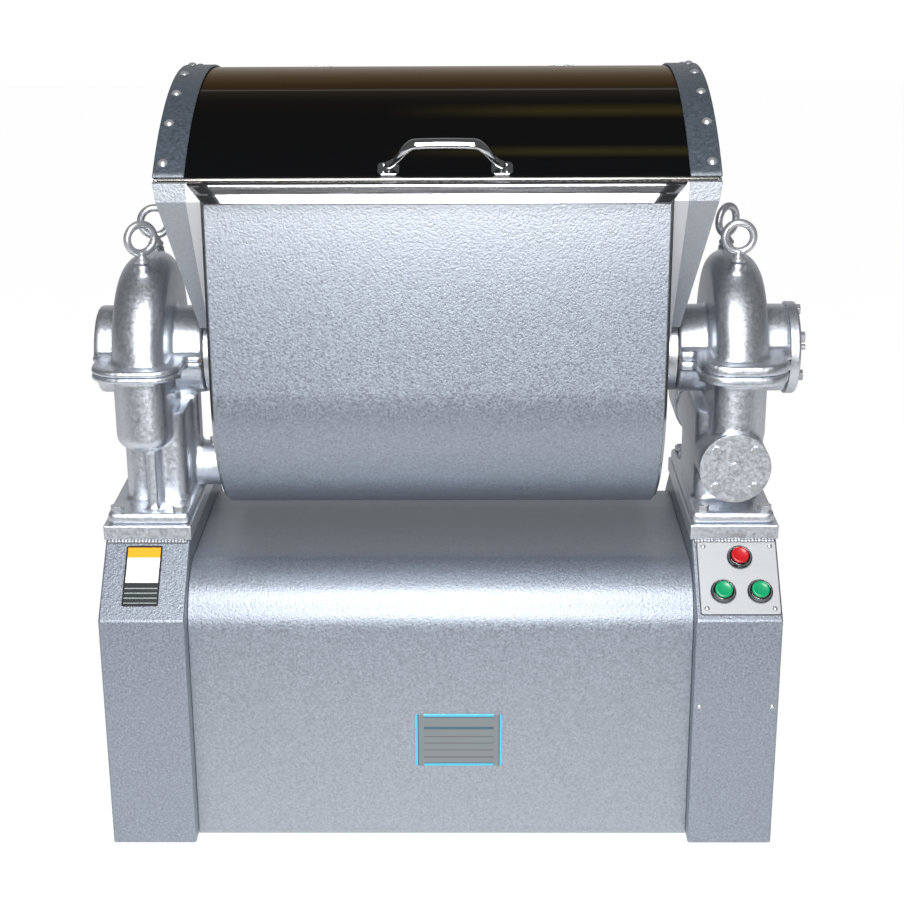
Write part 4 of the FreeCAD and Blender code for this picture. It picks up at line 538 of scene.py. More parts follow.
class Groups:
    """The shader node groups, each built once."""

    def __init__(self) -> None:
        """Build every group."""
        self.relief = {
            Pattern.HAMMERED: self._hammered(),
            Pattern.CAST: self._noise(Pattern.CAST, 5.0, roughness=0.62),
            Pattern.BRUSHED: self._noise(Pattern.BRUSHED, 3.0, stretch=(0.025, 1.0, 1.0)),
            Pattern.MOULDED: self._noise(Pattern.MOULDED, 1.0),
        }
        self.colour = self._coloured()

    @staticmethod
    def _new(name: str, inputs: dict[str, tuple[str, object]],
             outputs: dict[str, str]) -> tuple[Tree, Node, Node]:
        """Start a group with its named sockets and give it with its two end nodes."""
        tree = bpy.data.node_groups.new(name, "ShaderNodeTree")
        for label, (kind, default) in inputs.items():
            socket = tree.interface.new_socket(label, in_out="INPUT", socket_type=kind)
            if default is not None:
                socket.default_value = default
        for label, kind in outputs.items():
            tree.interface.new_socket(label, in_out="OUTPUT", socket_type=kind)
        return tree, tree.nodes.new("NodeGroupInput"), tree.nodes.new("NodeGroupOutput")

    def _relief_group(self, pattern: Pattern) -> tuple[Tree, Node, Node]:
        """Start a relief group: a position and a scale in, a mask and a height out."""
        return self._new(pattern.value, {"Vector": ("NodeSocketVector", None), "Scale": ("NodeSocketFloat", 200.0)},
                         {"Mask": "NodeSocketFloat", "Height": "NodeSocketFloat"})

    def _hammered(self) -> Tree:
        """Hammer enamel: round cells that run into each other, with a fine metallic speckle."""
        tree, start, end = self._relief_group(Pattern.HAMMERED)
        spots = {"Vector": start.outputs["Vector"], "Scale": start.outputs["Scale"]}
        noise = add_node(tree, "TexNoise", spots | {"Detail": 2.0, "Distortion": 0.6}).outputs["Fac"]
        cells = add_node(tree, "TexVoronoi", spots | {"Smoothness": 0.7}, feature="SMOOTH_F1").outputs["Distance"]
        height = add_node(tree, "Math", {0: cells, 1: 0.5, 2: noise}, operation="MULTIPLY_ADD")
        feed(tree, end, {"Mask": noise, "Height": height.outputs[0]})
        return tree

    def _noise(self, pattern: Pattern, detail: float, roughness: float = 0.5,
               stretch: Triple = (1.0, 1.0, 1.0)) -> Tree:
        """One noise: wavy with grains on cast iron, drawn out forty times along X on metal, even on plastic."""
        tree, start, end = self._relief_group(pattern)
        drawn = add_node(tree, "VectorMath", {0: start.outputs["Vector"], 1: stretch}, operation="MULTIPLY")
        noise = add_node(tree, "TexNoise", {"Vector": drawn.outputs[0], "Scale": start.outputs["Scale"],
                                            "Detail": detail, "Roughness": roughness}).outputs["Fac"]
        feed(tree, end, {"Mask": noise, "Height": noise})
        return tree

    def _coloured(self) -> Tree:
        """Colour of a used surface: its own colour, lighter and darker with the relief, soiled in broad
        patches and worn along its edges, where the pointiness is high."""
        number = "NodeSocketFloat"
        tree, start, end = self._new("used_colour", {
            "Vector": ("NodeSocketVector", None), "Colour": ("NodeSocketColor", None),
            "Worn Colour": ("NodeSocketColor", None), "Relief": (number, 0.5), "Contrast": (number, 0.3),
            "Soiling": (number, 0.1), "Wear": (number, 0.3)}, {"Colour": "NodeSocketColor"})
        given = start.outputs
        dirt = add_node(tree, "TexNoise", {"Vector": given["Vector"], "Scale": 7.0, "Detail": 6.0})
        patch = add_node(tree, "MapRange", {"Value": dirt.outputs["Fac"], "From Min": 0.35, "From Max": 0.7})
        soiled = maths(tree, "MULTIPLY", patch.outputs[0], given["Soiling"])
        spread = maths(tree, "MULTIPLY", maths(tree, "SUBTRACT", given["Relief"], 0.5), given["Contrast"])
        level = maths(tree, "SUBTRACT", maths(tree, "ADD", spread, 1.0), soiled)
        grey = add_node(tree, "CombineColor", {"Red": level, "Green": level, "Blue": level})
        shade = add_node(tree, "Mix", {"Factor": 1.0, "A": given["Colour"], "B": grey.outputs["Color"]},
                         data_type="RGBA", blend_type="MULTIPLY")
        pointed = add_node(tree, "NewGeometry").outputs["Pointiness"]
        edge = add_node(tree, "MapRange", {"Value": pointed, "From Min": 0.54, "From Max": 0.62})
        worn = maths(tree, "MULTIPLY", edge.outputs[0], given["Wear"])
        bare = add_node(tree, "Mix", {"Factor": worn, "A": shade.outputs["Result"], "B": given["Worn Colour"]},
                        data_type="RGBA")
        feed(tree, end, {"Colour": bare.outputs["Result"]})
        return tree


@dataclass(frozen=True)
class Finish:
    """A finish of one colour with relief, soiling and wear."""

    name: str
    colour: Triple
    metallic: float
    roughness: float
    pattern: Pattern
    scale: float
    contrast: float
    relief: float
    soiling: float = 0.06
    wear: float = 0.25
    worn_colour: Triple = (205, 207, 208)
    coat: float = 0.0
    coat_roughness: float = 0.12
    edge: float = 0.8
    spread: float = 0.2

    def build(self, groups: Groups) -> Material:
        """Make the material.

        Args:
            groups: The shared node groups.

        Returns:
            A material whose Principled shader takes its colour, roughness and normal from the groups.
        """
        material, shader = new_material(self.name)
        tree = material.node_tree
        where = add_node(tree, "TexCoord").outputs["Object"]
        relief = add_node(tree, "Group", {"Vector": where, "Scale": self.scale},
                          node_tree=groups.relief[self.pattern]).outputs
        colour = add_node(tree, "Group", {
            "Vector": where, "Colour": linear(self.colour), "Worn Colour": linear(self.worn_colour),
            "Relief": relief["Mask"], "Contrast": self.contrast, "Soiling": self.soiling, "Wear": self.wear},
            node_tree=groups.colour)
        rough = add_node(tree, "MapRange", {
            "Value": relief["Mask"], "From Min": 0.3, "From Max": 0.7, "To Min": self.roughness * (1 - self.spread),
            "To Max": min(1.0, self.roughness * (1 + self.spread))})
        soft = add_node(tree, "Bevel", {"Radius": self.edge * MM}, samples=4)
        bump = add_node(tree, "Bump", {"Distance": self.relief * MM, "Height": relief["Height"],
                                       "Normal": soft.outputs[0]})
        feed(tree, shader, {
            "Base Color": colour.outputs["Colour"], "Roughness": rough.outputs[0], "Normal": bump.outputs[0],
            "Metallic": self.metallic, "Coat Weight": self.coat, "Coat Roughness": self.coat_roughness})
        return material


def new_material(name: str) -> tuple[Material, Node]:
    """Make a node material and give it with its Principled shader."""
    material = bpy.data.materials.new(name)
    material.use_nodes = True
    return material, material.node_tree.nodes["Principled BSDF"]


class Finishes:
    """All finishes of the machine, made once and found by the record's slot."""

    def __init__(self) -> None:
        """Build the groups and the materials."""
        groups = Groups()
        plans = {
            "silver_paint": Finish("silver_enamel", (148, 155, 166), 0.65, 0.42, Pattern.HAMMERED, 380.0, 1.0, 0.26,
                                   soiling=0.03, wear=0.3),
            "casting_paint": Finish("casting_enamel", (222, 227, 235), 0.94, 0.38, Pattern.CAST, 240.0, 0.5, 0.22,
                                    soiling=0.07, wear=0.5),
            "stainless": Finish("polished_sheet", (158, 159, 163), 1.0, 0.15, Pattern.BRUSHED, 900.0, 0.12, 0.02,
                                soiling=0.05, wear=0.0),
            "steel": Finish("turned_steel", (150, 150, 149), 1.0, 0.3, Pattern.BRUSHED, 700.0, 0.2, 0.05),
            "cast_iron": Finish("cast_iron", (104, 104, 105), 0.7, 0.55, Pattern.CAST, 260.0, 0.5, 0.3),
            "zinc_fasteners": Finish("zinc_plate", (206, 209, 214), 0.75, 0.34, Pattern.CAST, 420.0, 0.25, 0.06,
                                     soiling=0.12),
            "bronze": Finish("bearing_bronze", (172, 128, 72), 1.0, 0.32, Pattern.BRUSHED, 600.0, 0.2, 0.03),
            "chrome": Finish("chrome_plate", (212, 214, 216), 1.0, 0.07, Pattern.MOULDED, 90.0, 0.05, 0.01,
                             soiling=0.02, wear=0.0),
            "bezel_metal": Finish("bezel_chrome", (120, 122, 124), 1.0, 0.12, Pattern.MOULDED, 300.0, 0.06, 0.01,
                                  soiling=0.04, wear=0.0),
            "red_plastic": Finish("red_button", (184, 16, 24), 0.0, 0.28, Pattern.MOULDED, 900.0, 0.12, 0.02,
                                  soiling=0.05, wear=0.0, coat=0.3),
            "green_plastic": Finish("green_button", (0, 150, 98), 0.0, 0.28, Pattern.MOULDED, 900.0, 0.12, 0.02,
                                    soiling=0.05, wear=0.0, coat=0.3),
            "plate_metal": Finish("brushed_plate", (184, 186, 189), 0.3, 0.5, Pattern.BRUSHED, 900.0, 0.16, 0.02,
                                  soiling=0.05, wear=0.1),
            "rubber": Finish("black_rubber", (34, 34, 35), 0.0, 0.62, Pattern.MOULDED, 500.0, 0.3, 0.06, wear=0.1,
                             worn_colour=(80, 80, 82)),
            "black_plastic": Finish("black_plastic", (28, 28, 30), 0.0, 0.4, Pattern.MOULDED, 800.0, 0.2, 0.03,
                                    wear=0.1, worn_colour=(80, 80, 82)),
        }
        self.by_slot = {slot: plan.build(groups) for slot, plan in plans.items()}
        # A darker copy of the silver paint for the lid strips: painted shade for their upward faces, which reflect the
        # dark room.
        self.strip = Finish("strip_enamel_painted_shade", (88, 97, 108), 0.45, 0.4, Pattern.HAMMERED, 260.0, 1.2, 0.3,
                            wear=0.15).build(groups)
        self.satin = Finish("satin_steel", (222, 223, 226), 0.7, 0.42, Pattern.BRUSHED, 900.0, 0.1, 0.02,
                            wear=0.0).build(groups)
        self.dark_edge = Finish("gasket_grey", (62, 66, 70), 0.1, 0.5, Pattern.MOULDED, 500.0, 0.3, 0.05).build(groups)
        self.weld = Finish("weld_bead", (158, 162, 168), 0.8, 0.4, Pattern.CAST, 500.0, 0.5, 0.2,
                           soiling=0.25).build(groups)
        # The lid's finish has its reflections and highlights painted into its colour.
        self.mirror = LidPaintedReflections().build(groups)
        self.badge = RuledPlate().build()
        self.by_slot["label_film"] = BandedLabel().build()


@dataclass(frozen=True)
class LidPaintedReflections:
    """Mirror steel of the lid with its light painted into the colour: a near-black base that stands in for the dark
    room it reflects, golden streak reflections, bright highlight lines at the front edge and near the top, and a tan
    reflection over its top, all painted.

    The painted reflection over the top is a ramp over Y, and the painted golden streak reflections a second one that
    fades in along X.
    """

    # Painted light: the near-black base colour stands in for the dark room that the steel reflects, the tan one is a
    # painted reflection over the top, the light grey one paints highlight lines and the golden one paints streak
    # reflections; the edge colour is the metal's own edge tint.
    colour: Triple = (66, 67, 70)
    sheen: Triple = (72, 55, 40)
    edge: Triple = (212, 200, 186)
    painted_highlight: Triple = (150, 148, 142)
    painted_gold_reflection: Triple = (150, 136, 84)
    roughness: float = 0.1
    grain_roughness: float = 0.16
    grain_scale: float = 500.0
    grain_depth: float = 0.015

    def build(self, groups: Groups) -> Material:
        """Make the material: ramps over Y for the painted reflections and highlights, and a fine rolled grain along X.
        """
        material, shader = new_material("lid_painted_reflections")
        tree = material.node_tree
        where = add_node(tree, "TexCoord").outputs["Object"]
        split = add_node(tree, "SeparateXYZ", {0: where}).outputs
        share = add_node(tree, "MapRange", {"Value": split["Y"], "From Min": -0.2, "From Max": 0.2}).outputs[0]
        dark, sheen, painted_gold_reflection, painted_highlight = self.colour, self.sheen, self.painted_gold_reflection, self.painted_highlight
        # Painted light along Y: bright painted highlights at the front edge, painted golden streak reflections, a
        # bright painted highlight line near the top and the tan painted reflection over the top.
        front = [(0.0, painted_highlight), (0.056, painted_highlight), (0.062, dark)]
        painted_streak_reflections = [(0.118, dark), (0.137, painted_gold_reflection), (0.16, dark), (0.265, dark), (0.3, painted_gold_reflection), (0.345, dark)]
        top = [(0.423, dark), (0.43, painted_highlight), (0.437, dark), (0.452, sheen), (1.0, sheen)]
        plain = add_ramp(tree, share, front + top, smooth=True)
        with_painted_streaks = add_ramp(tree, share, front + painted_streak_reflections + top, smooth=True)
        # The painted golden streak reflections fade in along X.
        side = add_node(tree, "MapRange", {"Value": split["X"], "From Min": -0.06, "From Max": 0.12})
        mix = add_node(tree, "Mix", {"Factor": side.outputs[0], "A": plain, "B": with_painted_streaks}, data_type="RGBA")
        fine = add_node(tree, "Group", {"Vector": where, "Scale": self.grain_scale},
                        node_tree=groups.relief[Pattern.BRUSHED]).outputs
        rough = add_node(tree, "MapRange", {"Value": fine["Mask"], "To Min": self.roughness,
                                            "To Max": self.roughness + self.grain_roughness})
        bump = add_node(tree, "Bump", {"Distance": self.grain_depth * MM, "Height": fine["Height"]})
        feed(tree, shader, {
            "Base Color": mix.outputs["Result"], "Roughness": rough.outputs[0], "Normal": bump.outputs[0],
            "Metallic": 1.0, "Specular Tint": linear(self.edge)})
        return material


@dataclass(frozen=True)
class BandedLabel:
    """A printed label without words: a dark rim, an amber band, a white field and dark rules below."""

    rim: Triple = (22, 24, 30)
    amber: Triple = (240, 168, 20)
    white: Triple = (236, 237, 238)
    dark: Triple = (30, 38, 40)
    rule: Triple = (150, 158, 158)

    def build(self) -> Material:
        """Make the material: a ramp over the height of the piece's UV map inside a rim by both UV axes."""
        material, shader = new_material("banded_label")
        tree = material.node_tree
        split = add_node(tree, "SeparateXYZ", {0: add_node(tree, "TexCoord").outputs["UV"]}).outputs
        rim, dark, rule = self.rim, self.dark, self.rule
        bands = add_ramp(tree, split["Y"], [
            (0.0, rim), (0.04, rule), (0.055, dark), (0.12, rule), (0.14, dark), (0.2, rule), (0.22, dark),
            (0.28, rule), (0.3, dark), (0.38, self.white), (0.8, self.amber), (0.965, rim)])
        side = add_ramp(tree, split["X"], [(0.0, WHITE), (0.05, BLACK), (0.95, WHITE)])
        feed(tree, shader, {"Base Color": lay_over(tree, side, bands, rim), "Roughness": 0.35,
                            "Normal": add_fine_grain(tree, 600.0, 0.01)})
        return material


@dataclass(frozen=True)
class RuledPlate:
    """A blank data plate: brushed silver with a blue-green rim line and plain rules."""

    silver: Triple = (132, 138, 140)
    rim: Triple = (96, 196, 228)
    inner: Triple = (84, 108, 122)
    rule: Triple = (112, 112, 114)

    def build(self) -> Material:
        """Make the material from ramps over the two axes of the piece's UV map."""
        material, shader = new_material("ruled_plate")
        tree = material.node_tree
        split = add_node(tree, "SeparateXYZ", {0: add_node(tree, "TexCoord").outputs["UV"]}).outputs
        silver, rim, inner, rule = self.silver, self.rim, self.inner, self.rule
        field = add_ramp(tree, split["Y"], [
            (0.0, rim), (0.045, inner), (0.06, silver), (0.16, rule), (0.18, silver), (0.3, rule), (0.32, silver),
            (0.43, rule), (0.45, silver), (0.56, rule), (0.58, silver), (0.71, inner), (0.76, silver), (0.935, inner),
            (0.955, rim)])
        for margin, colour in ((0.1, silver), (0.04, inner), (0.03, rim)):
            beside = add_ramp(tree, split["X"], [(0.0, WHITE), (margin, BLACK), (1 - margin, WHITE)])
            field = lay_over(tree, beside, field, colour)
        feed(tree, shader, {"Base Color": field, "Metallic": 0.6, "Roughness": 0.34,
                            "Normal": add_fine_grain(tree, 700.0, 0.02)})
        return material


# Sub-assemblies


@dataclass
class Stand:
    """The two pedestals, their top plates with the weld beads, and the front cover of the bay."""

    bay: float = 299.0
    out: float = 400.0
    depth: float = 200.0
    shoulder: float = 295.0
    top: float = 367.0
    top_depth: float = 124.0
    fold: float = 5.0
    corner: float = 2.6
    plate_top: float = 386.0
    plate_in: float = 297.0
    plate_out: float = 402.0
    plate_depth: float = 126.0
    cover_depth: float = 178.0
    cover_foot: float = 6.0
    cover_height: float = 340.0
    cover_width: float = 298.7
    cover_bend: float = 70.0
    cover_joint: float = 60.0
    cover_sheet: float = 2.0
    bead: float = 2.6
    bead_pitch: float = 4.0
    bead_end: float = 3.0
    bead_out: float = 2.2
    bead_down: float = 0.8
    bead_seeds: tuple[int, int] = (7, 8)

    def build(self, finishes: Finishes) -> None:
        """Build every visible piece of the stand."""
        outline = [(-self.depth, 0.0), (self.depth, 0.0), (self.depth, self.shoulder), (self.top_depth, self.top),
                   (-self.top_depth, self.top), (-self.depth, self.shoulder)]
        loop = rounded_loop(outline, [self.corner, self.corner, self.fold] * 2)
        shell = rounded_prism(loop, self.bay, self.out, 2.5)
        for side, surface in (("right", shell), ("left", mirrored(shell))):
            add_piece("pedestal_sheet_" + side, surface, "pedestal_" + side, "silver_paint", finishes)
        self.build_top_plates(finishes)
        self.build_front_cover(finishes)

    def build_top_plates(self, finishes: Finishes) -> None:
        """Build the thick plates and the weld beads under their fronts and backs."""
        d = self.plate_depth
        loop = rounded_loop(rectangle((-d, d), (self.top, self.plate_top)), 2.2, 3)
        plate = rounded_prism(loop, self.plate_in, self.plate_out, 1.8)
        add_piece("top_plate_pair", both_sides(plate), "top_plates", "casting_paint", finishes)
        beads = []
        for side, seed in zip(SIDES, self.bead_seeds):
            line = [np.array([x, side * (self.top_depth + self.bead_out), self.top - self.bead_down])
                    for x in (self.bay + self.bead_end, self.out - self.bead_end)]
            beads.append(weld_bead(*line, self.bead, self.bead_pitch, seed))
        add_piece("plate_weld_beads", both_sides(joined(beads)), "top_plates", "casting_paint", finishes,
                  finishes.weld, instead=False)

    def build_front_cover(self, finishes: Finishes) -> None:
        """Build the front cover: up the front, round the bend and back along the top to the joint."""
        d, h, r = self.cover_depth, self.cover_height, self.cover_bend
        path = np.vstack([[[-d, self.cover_foot]], arc((-d + r, h - r), r, 180, 90, 25), [[self.cover_joint, h]]])
        loop = bent_sheet(path[::-1], self.cover_sheet)
        cover = rounded_prism(loop, -self.cover_width, self.cover_width, 0.8, steps=2)
        add_piece("front_cover_sheet", cover, "front_cover", "silver_paint", finishes)


@dataclass
class Bowl:
    """The bowl's jacket and rim lip."""

    axis_height: float = 570.0
    half_length: float = 255.0
    trough: float = 182.0
    jacket: float = 4.0
    jacket_top: float = 783.0
    jacket_rows: Pair = (640.0, 700.0)
    lip_front: float = -200.0
    lip_back: float = -182.3
    lip_top: float = 808.0
    lip_low: float = 785.0
    lip_half_top: float = 270.0
    lip_half_low: float = 252.0
    lip_sheet: float = 2.5
    lip_lean: float = 1.5

    def build(self, finishes: Finishes) -> None:
        """Build the jacket and the lip."""
        radius = self.trough + self.jacket
        rear = np.array([(radius, z) for z in (*self.jacket_rows, self.jacket_top)])
        under = arc((0.0, self.axis_height), radius, 180, 360, 73)
        loop = bent_sheet(np.vstack([rear[::-1] * [-1, 1], under, rear]), self.jacket)
        jacket = rounded_prism(loop, -self.half_length, self.half_length, 1.4, steps=2)
        add_piece("jacket_sheet", jacket, "jacket", "silver_paint", finishes)
        self.build_lip(finishes)

    def build_lip(self, finishes: Finishes) -> None:
        """Build the folded lip: its section is carried along X, and its ends slope in towards the lower edge.

        Its lower half leans out, which gives it a bright band under a dark one.

        A section point at the height z stands at X = share times the half length at z, which runs straight
        from the low to the top half length.
        """
        front, back, top, low, sheet = self.lip_front, self.lip_back, self.lip_top, self.lip_low, self.lip_sheet
        upper = front + self.lip_lean
        middle = (top + low) / 2
        path = rounded_loop([(back, top), (upper, top), (upper, middle), (front, low), (front + 3 * sheet, low),
                             (front + 3 * sheet, low + sheet), (front + sheet, low + sheet),
                             (upper + sheet, top - sheet), (back, top - sheet)],
                            [0, 3.2, 12.0, 1.6, 0.4, 0.4, 0, 1.0, 0], 5)
        half = self.lip_half_low + (path[:, 1] - low) / (top - low) * (self.lip_half_top - self.lip_half_low)
        rings = np.stack([np.column_stack([share * half, path]) for share in np.linspace(-1, 1, 25)])
        add_piece("rim_lip_fold", tube(rings), "rim_lip", "stainless", finishes)


@dataclass
class Lid:
    """The curved lid with its painted end strips and its bow handle."""

    centre: Pair = (70.0, 509.0)
    radius: float = 389.0
    sheet: float = 2.5
    half_length: float = 305.0
    front: float = -178.0
    rear: float = 185.0
    strip_in: float = 275.0
    strip_out: float = 310.0
    strip: float = 3.0
    handle_x: float = 9.0
    handle_y: float = -168.0
    handle_half: float = 62.0
    handle_rise: float = 44.0
    handle_rod: float = 5.5
    crown: float = 4.0
    foot_half: Pair = (12.0, 9.0)
    foot_thickness: float = 4.0
    screw_shift: Pair = (5.0, 5.6)

    def section(self, radius: float, thickness: float) -> np.ndarray:
        """Give the section in (y, z) of a sheet of the lid, from its rear to its front."""
        rear, front = (math.degrees(math.acos((y - self.centre[0]) / radius)) for y in (self.rear, self.front))
        return bent_sheet(arc(self.centre, radius, rear, front, 61), thickness)

    def build(self, finishes: Finishes) -> None:
        """Build the shell, the strips and the handle."""
        shell = rounded_prism(self.section(self.radius, self.sheet), -self.half_length, self.half_length, 0.9, steps=2)
        # The lid sheet takes the finish with its reflections and highlights painted in.
        add_piece("lid_sheet", shell, "lid_shell", "stainless", finishes, finishes.mirror)
        strip = rounded_prism(self.section(self.radius + self.strip, self.strip), self.strip_in, self.strip_out, 1.2)
        # The strips take the darker copy of the silver paint, with their shade painted in.
        add_piece("lid_strip_pair", both_sides(strip), "lid_strips", "silver_paint", finishes, finishes.strip)
        self.build_handle(finishes)

    def build_handle(self, finishes: Finishes) -> None:
        """Build the handle: a bow on S-shaped rises between two foot plates.

        The bow climbs by q q (3 - 2 q), where q is the share of the way from a foot to the end of its rise, and
        crowns by another 4 mm to the middle. Its section widens from a round rod at the feet to a flat grip.
        """
        dy = (self.handle_y - self.centre[0]) / self.radius
        out = np.array([0.0, dy, math.sqrt(1 - dy * dy)])
        along = np.cross(out, X_AXIS)
        base = np.array([self.handle_x, *self.centre]) + out * self.radius
        turn = np.linspace(-1, 1, 61)
        q = np.clip((1 - np.abs(turn)) / 0.5, 0, 1)
        rise = q * q * (3 - 2 * q)
        top = self.handle_rise - self.handle_rod - self.crown
        height = self.foot_thickness + top * (0.12 + 0.88 * rise) + self.crown * (1 - turn * turn)
        path = base + X_AXIS * (turn * (self.handle_half + 2))[:, None] + out * height[:, None]
        wide = self.handle_rod * (0.8 + 0.35 * rise)
        flat = self.handle_rod * (0.8 + 0.08 * rise)
        section = circle(1.0, 20)[None] * np.stack([wide, flat], axis=1)[:, None]
        parts = [swept(path, section, along)]
        (w, h), (screw_x, screw_y) = self.foot_half, self.screw_shift
        loop = rounded_loop(rectangle((-w, w), (-h, h)), 5.0)
        screw = [(0, -0.5), (2.6, -0.5), (2.6, 0.5), (2.1, 1.1), (1.2, 1.5), (0, 1.6)]
        for side in SIDES:
            foot = base + X_AXIS * side * self.handle_half
            parts.append(rounded_prism(loop, 0.3, self.foot_thickness, 1.1, foot, (out, X_AXIS, along)))
            for shift in SIDES:
                middle = foot + along * shift * screw_y + X_AXIS * side * screw_x + out * self.foot_thickness
                parts.append(turned(screw, middle, out, 20))
        add_piece("lid_handle_bow", joined(parts), "lid_handle", "chrome", finishes)


@dataclass
class Slope:
    """The sloping upper front of a pedestal, with points given as (x, up the slope, out of it)."""

    shoulder_y: float = -200.0
    shoulder_z: float = 295.0
    run: float = 76.0
    climb: float = 72.0

    @property
    def up(self) -> np.ndarray:
        """Direction up the slope."""
        return np.array([0.0, self.run, self.climb]) / math.hypot(self.run, self.climb)

    @property
    def out(self) -> np.ndarray:
        """Direction out of the slope."""
        return np.array([0.0, -self.climb, self.run]) / math.hypot(self.run, self.climb)

    def point(self, x: float, up: float, out: float = 0.0) -> np.ndarray:
        """Give a point of the slope in the machine's frame."""
        return np.array([x, self.shoulder_y, self.shoulder_z]) + self.up * up + self.out * out

    def plate(self, x: Pair, up: Pair, out: Pair, corner: float, edge: float, margin: float = 0.0) -> Surface:
        """Give a plate on the slope with rounded corners and edges, smaller by a margin all round."""
        sides = [(low + margin, high - margin) for low, high in (x, up)]
        loop = rounded_loop(rectangle(*sides), corner)
        return rounded_prism(loop, out[0], out[1], edge, self.point(0, 0), (self.out, X_AXIS, self.up))


def map_plate(piece: bpy.types.Object, first: np.ndarray, second: np.ndarray) -> None:
    """Give a flat plate a UV map that runs from 0 to 1 along two directions.

    Args:
        piece: The plate's object.
        first: Direction of U.
        second: Direction of V.
    """
    mesh = piece.data
    points = np.array([vertex.co for vertex in mesh.vertices])
    places = points @ np.stack([first, second], axis=1)
    places = (places - places.min(0)) / np.ptp(places, axis=0)
    layer = mesh.uv_layers.new(name="plate")
    for corner, spot in zip(mesh.loops, layer.data):
        spot.uv = places[corner.vertex_index]


